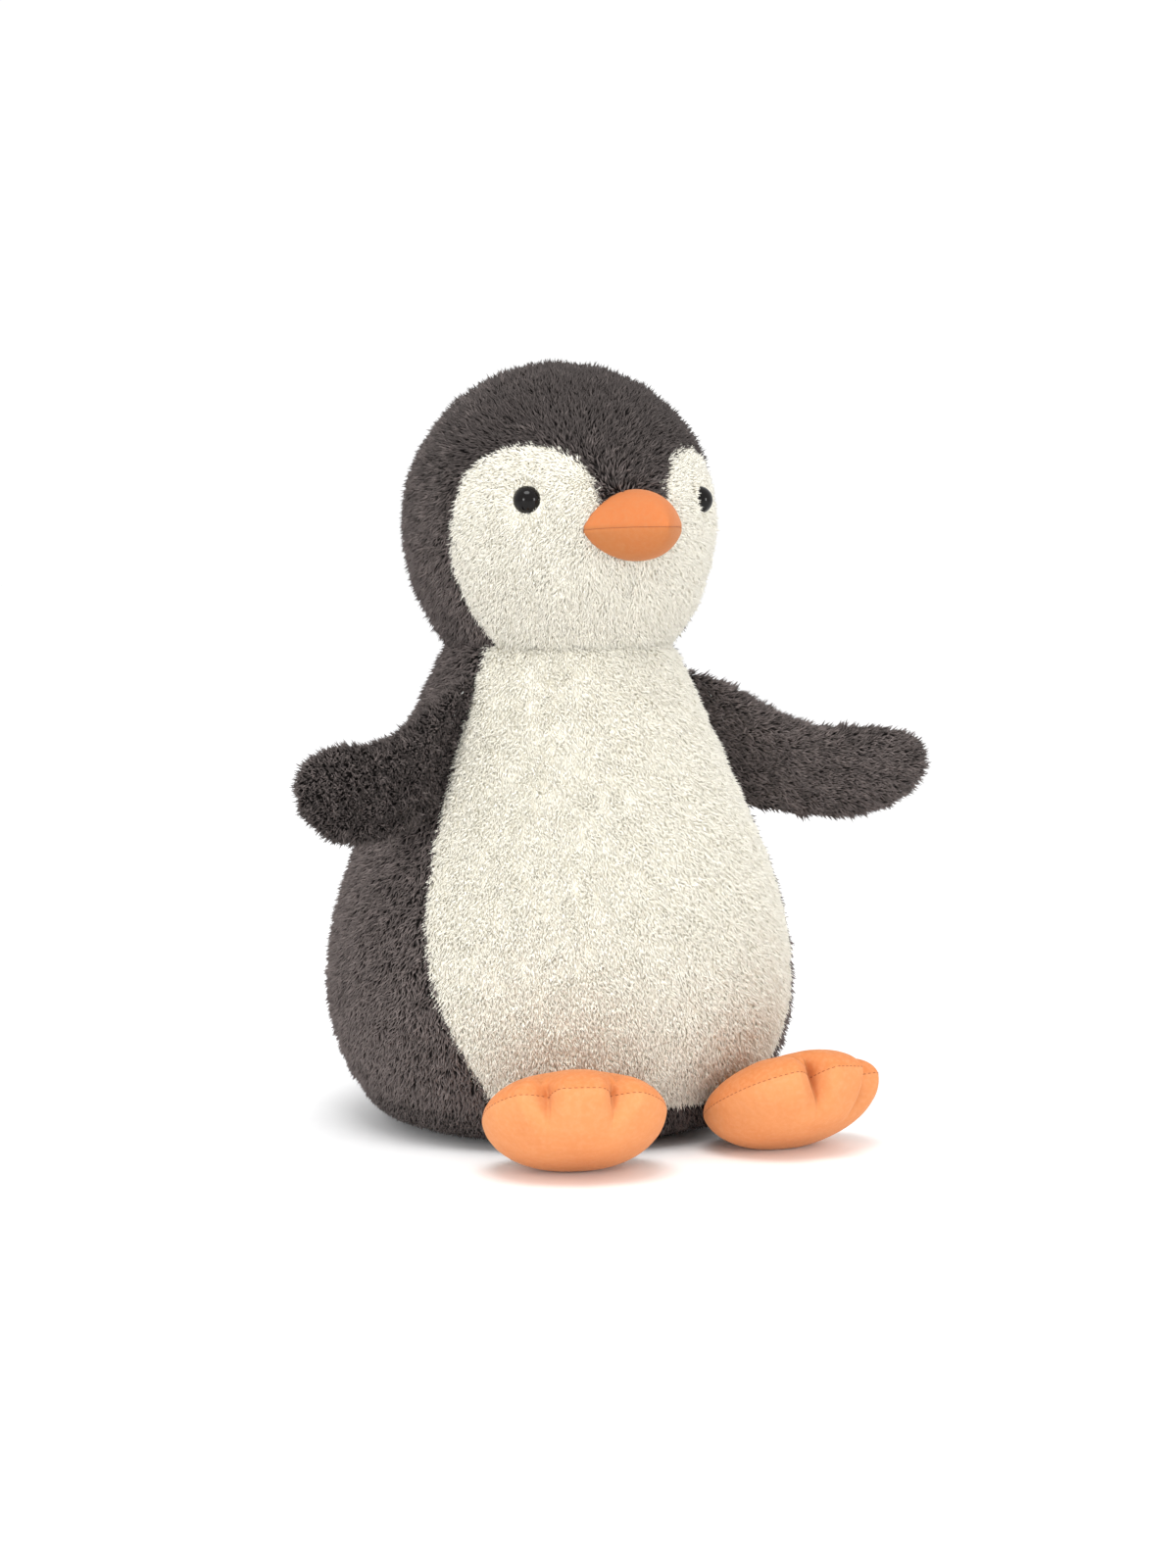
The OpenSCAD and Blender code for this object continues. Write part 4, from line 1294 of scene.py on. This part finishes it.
def foot_frame(side):
    """Directions, middle and size of one foot, for the left side before mirroring."""
    s = shape()
    splay, pitch = getattr(s, "splay_" + side), getattr(s, "pitch_" + side)
    along = aim(splay, pitch)
    roll = getattr(s, "roll_" + side)
    level = np.array([math.cos(splay), math.sin(splay), 0])
    across = math.cos(roll) * level + math.sin(roll) * np.cross(level, along)
    rise = -np.cross(across, along)
    hinge = np.abs(JOINT["left_foot_tilt"]["pos_m"]) * (1, -1, 1)
    middle = hinge + (s.foot_length / 2 - FOOT_BACK) * along - FOOT_LOW * rise
    return along, across, rise, middle, hinge


def foot_radius(side, a, inset, share=1.0):
    """Reach of the foot at an angle from the middle toe and a share of the way to its outline."""
    s = shape()
    c, d = np.abs(np.cos(a)) / (s.foot_length / 2), np.abs(np.sin(a)) / (s.foot_width / 2)
    square = np.where(np.cos(a) > 0, s.toe_square, s.heel_square)
    turn = np.degrees(np.minimum(a % (2 * math.pi), -a % (2 * math.pi)))
    dip = np.maximum(0, 1 - np.abs(turn - VALLEY_TURN) / VALLEY_HALF) ** 1.5
    notch = getattr(s, "toe_notch_" + side) * dip * share ** getattr(s, "notch_run_" + side)
    return ((c**square + d**square) ** (-1 / square) * (1 - notch) - inset) * share


def toe_round(across):
    """Height of the rounded toes over the valleys between them, from 0 to 1."""
    s = shape()
    valley = s.foot_width * VALLEY_PLACE
    x = np.abs(across)
    outer = (x - valley) / (s.foot_width / 2 - valley)
    off = np.where(x < valley, x / valley, 1 - 1.6 * outer)
    return np.sqrt(1 - 0.96 * np.clip(off, 0, 1) ** 2.6)


def foot_clear(points, inset):
    """Keeps a foot above the floor and clear of the belly, with room to tilt."""
    z = np.maximum(points[:, 2], inset + FLOOR_GAP)
    r = np.hypot(points[:, 0], points[:, 1])
    hinge_z = JOINT["left_foot_tilt"]["pos_m"][2]
    room = math.tan(math.radians(FOOT_TILT_UP)) * np.maximum(0, z - hinge_z)
    push = np.maximum(1, (body_radius(z) + BELLY_GAP + inset + room) / r)
    return np.stack([points[:, 0] * push, points[:, 1] * push, z], 1)


def foot_rings(side, top, inset=0.0, rows=30, cols=240):
    """Rings of the top or sole, from the middle of the foot to its seam."""
    s = shape()
    along, across, rise, middle, _ = foot_frame(side)
    a = np.linspace(0, 2 * math.pi, cols, endpoint=False)
    thick = (s.foot_up if top else s.foot_down) - inset
    start = getattr(s, "valley_" + side)
    deep = s.toe_valley
    if not top:
        start, deep = start + SOLE_LATER, deep * (TOE_END - start)
    rings = []
    for share in np.sin(np.linspace(0, math.pi / 2, rows + 1))[1:]:
        puff = puffed(share, *FOOT_PUFF)
        r = foot_radius(side, a, inset, share)
        x, y = r * np.sin(a), r * np.cos(a)
        fade = np.clip((y / (s.foot_length / 2) - start) / (TOE_END - start), 0, 1)
        dip = 1 - deep * (1 - toe_round(x)) * fade * (fade if not top else 1)
        edge = np.clip((share - 0.86) / 0.1, 0, 1)
        pucker = 1 + PUCKER_DEPTH * np.sin(a * PUCKERS + (0 if top else 1.2)) * edge
        h = (1 if top else -1) * thick * puff * dip * pucker
        flat = middle + y[:, None] * along + x[:, None] * across
        rings.append(foot_clear(flat + h[:, None] * rise, inset))
    centre = foot_clear((middle + (1 if top else -1) * thick * rise)[None], inset)
    return rings, centre


class PENGUIN_OT_feet(Build, bpy.types.Operator):
    """Two stuffed feet with three toes, sewn from a top and a sole"""

    bl_idname = "penguin.feet"
    bl_label = "Feet"

    def execute(self, context):
        for side, sign in SIDES:
            piece = self.make(side + "_foot_padded", side, sign, 0.0)
            piece.data.materials.append(orange_fabric())
            nodes = [side + "_foot_upper", side + "_foot_sole"]
            bend = self.bend(side, sign)
            place_piece(piece, side + "_foot", nodes, bend)
            inside = self.make(side + "_foot_stuffing", side, sign, FOOT_FILL_DEPTH, 10, 48)
            inside.data.materials.append(fibre_material())
            place_piece(inside, side + "_foot", [side + "_foot_fill"], bend)
            seam = foot_rings(side, True)[0][-1] * (sign, 1, 1)
            stitch_line(side + "_foot_stitches", np.vstack([seam, seam[:1]]), side + "_foot", bend)
        return {"FINISHED"}

    def bend(self, side, sign):
        along, _, _, _, hinge = foot_frame(side)
        root, away = Vector(hinge * (sign, 1, 1)), Vector(along * (sign, 1, 1))
        return root - away * FOOT_BEND[0], root + away * FOOT_BEND[1]

    def make(self, name, side, sign, inset, rows=30, cols=240):
        top, peak = foot_rings(side, True, inset, rows, cols)
        sole, heel = foot_rings(side, False, inset, rows, cols)
        rings = [*top, *sole[-2::-1]]
        points = np.vstack([*rings, peak, heel]) * (sign, 1, 1)
        piece = closed_piece(name, points, len(rings), cols)
        below = np.zeros(len(points))
        below[rows * cols:-2] = 1
        below[(rows - 1) * cols:rows * cols] = 0.5
        below[-1] = 1
        store(piece.data, "sole", "FLOAT", "POINT", below)
        return piece


def stitch_tree():
    """Geometry Nodes that lay short stitches along a line."""
    tree = bpy.data.node_groups.get("Stitches")
    if tree:
        return tree
    tree, nodes, given = new_tree("Stitches", (
        ("Line", "Geometry"), ("Stitch", "Object"), ("Step", "Float"), ("Thread", "Material"),
    ), "Stitches")
    line = nodes.add("GeometryNodeMeshToCurve", None, {"Mesh": given["Line"]})
    even = nodes.add(
        "GeometryNodeResampleCurve", {"mode": "LENGTH"}, {"Curve": line, 3: given["Step"]}
    )
    way = nodes.add("GeometryNodeInputTangent")
    turn = nodes.add("FunctionNodeAlignRotationToVector", {"axis": "X"}, {"Vector": way})
    one = nodes.add("GeometryNodeObjectInfo", None, {"Object": given["Stitch"]}, "Geometry")
    sewn = nodes.add(
        "GeometryNodeInstanceOnPoints", None, {"Points": even, "Instance": one, "Rotation": turn}
    )
    whole = nodes.add("GeometryNodeRealizeInstances", None, {"Geometry": sewn})
    dyed = nodes.add("GeometryNodeSetMaterial", None, {"Geometry": whole, "Material": given["Thread"]})
    nodes.add("NodeGroupOutput", None, {0: dyed})
    return tree


def stitch():
    """One short round-ended stitch along X."""
    made = bpy.data.objects.get("stitch")
    if made:
        return made
    s = shape()
    half, thick = s.stitch_length / 2, THREAD_RADIUS
    turns = np.linspace(0, 2 * math.pi, 6, endpoint=False)
    rings = [np.stack([np.full(6, half * x), thick * r * np.cos(turns), thick * r * np.sin(turns)], 1)
             for x, r in ((-0.75, 0.8), (0, 1), (0.75, 0.8))]
    points = np.vstack([*rings, [(-half, 0, 0), (half, 0, 0)]])
    return closed_piece("stitch", points, len(rings), len(turns))


def stitch_line(name, line, body, bend=None, step=None):
    """Stitches along a seam, as a piece of its own."""
    mesh = bpy.data.meshes.new(name)
    mesh.from_pydata([tuple(p) for p in line], [(i, i + 1) for i in range(len(line) - 1)], [])
    piece = put(name, mesh)
    thread = fleck_material("seam_thread", tuple(colours().thread), 1500.0, 0.5, 0.7)
    step = step or shape().stitch_step
    through_tree(piece, stitch_tree(), {"Stitch": stitch(), "Step": step, "Thread": thread})
    place_piece(piece, body, bend=bend)


def fibre_material():
    return fleck_material("fibre_stuffing", tuple(colours().stuffing), 260.0, 0.9, 0.85)


def stuffing(node, name, depth):
    """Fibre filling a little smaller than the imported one, so that it never shows through a skin."""
    body = bmesh.new()
    body.from_mesh(NODE[node].data)
    bmesh.ops.remove_doubles(body, verts=body.verts, dist=0.02 * MM)
    body.normal_update()
    places = [vert.co - vert.normal * depth for vert in body.verts]
    for vert, place in zip(body.verts, places):
        vert.co = place
    mesh = bpy.data.meshes.new(name)
    body.to_mesh(mesh)
    body.free()
    mesh.materials.clear()
    mesh.materials.append(fibre_material())
    return put(name, mesh)


class PENGUIN_OT_inside(Build, bpy.types.Operator):
    """Finishes of the eyes, washers, stuffing and bean pouch"""

    bl_idname = "penguin.inside"
    bl_label = "Eyes and inner pieces"

    def execute(self, context):
        c = colours()
        lining = fleck_material("pouch_lining", tuple(c.lining), 1100.0, 0.6, 0.8)
        pellets = fleck_material("pellet_plastic", tuple(c.pellet), 320.0, 0.7, 0.4)
        washer = fleck_material("washer_plastic", tuple(c.pellet), 700.0, 0.15, 0.35)
        self.fill("head", "head", HEAD_FILL_DEPTH)
        self.fill("body", "head", BODY_FILL_DEPTH, neck_bend())
        for side, sign in SIDES:
            flipper = side + "_flipper"
            self.fill(flipper, flipper, FLIPPER_FILL_DEPTH, flipper_bend(side, sign))
        finishes = (("eye_washer", washer), ("eye_", eye_material()), ("bean_pouch", lining),
                    ("bean_pellets", pellets), ("", fibre_material()))
        for name, node in NODE.items():
            if name.startswith(("eye_", "bean_")) or name.endswith("_fill"):
                finish = next(each for start, each in finishes if name.startswith(start))
                for slot in node.material_slots:
                    slot.material = finish
        return {"FINISHED"}

    def fill(self, part, body, depth, bend=None):
        piece = stuffing(part + "_fill", part + "_stuffing", depth)
        place_piece(piece, body, [part + "_fill"], bend)


class PENGUIN_PT_panel(bpy.types.Panel):
    """Lists the pieces in the order they are built"""

    bl_label = "Penguin"
    bl_idname = "PENGUIN_PT_panel"
    bl_space_type = "VIEW_3D"
    bl_region_type = "UI"
    bl_category = "Penguin"

    def draw(self, context):
        for maker in OPERATORS:
            self.layout.operator(maker.bl_idname)
        for group in (context.scene.penguin_pile, context.scene.penguin_shape,
                      context.scene.penguin_colours):
            box = self.layout.box()
            for name in group.__annotations__:
                box.prop(group, name)


GROUPS = (PenguinPile, PenguinShape, PenguinColours)
OPERATORS = (
    PENGUIN_OT_stage, PENGUIN_OT_head, PENGUIN_OT_body, PENGUIN_OT_flippers,
    PENGUIN_OT_beak, PENGUIN_OT_feet, PENGUIN_OT_inside,
)


def register():
    for each in (*GROUPS, *OPERATORS, PENGUIN_PT_panel):
        bpy.utils.register_class(each)
    for name, group in zip(("penguin_pile", "penguin_shape", "penguin_colours"), GROUPS):
        setattr(bpy.types.Scene, name, bpy.props.PointerProperty(type=group))


def unregister():
    for name in ("penguin_pile", "penguin_shape", "penguin_colours"):
        delattr(bpy.types.Scene, name)
    for each in reversed((*GROUPS, *OPERATORS, PENGUIN_PT_panel)):
        bpy.utils.unregister_class(each)


def main():
    register()
    for maker in OPERATORS:
        family, name = maker.bl_idname.split(".")
        getattr(getattr(bpy.ops, family), name)()
    for name in ("tuft", "stitch"):
        bpy.data.objects.remove(bpy.data.objects[name])


if __name__ == "__main__":
    main()
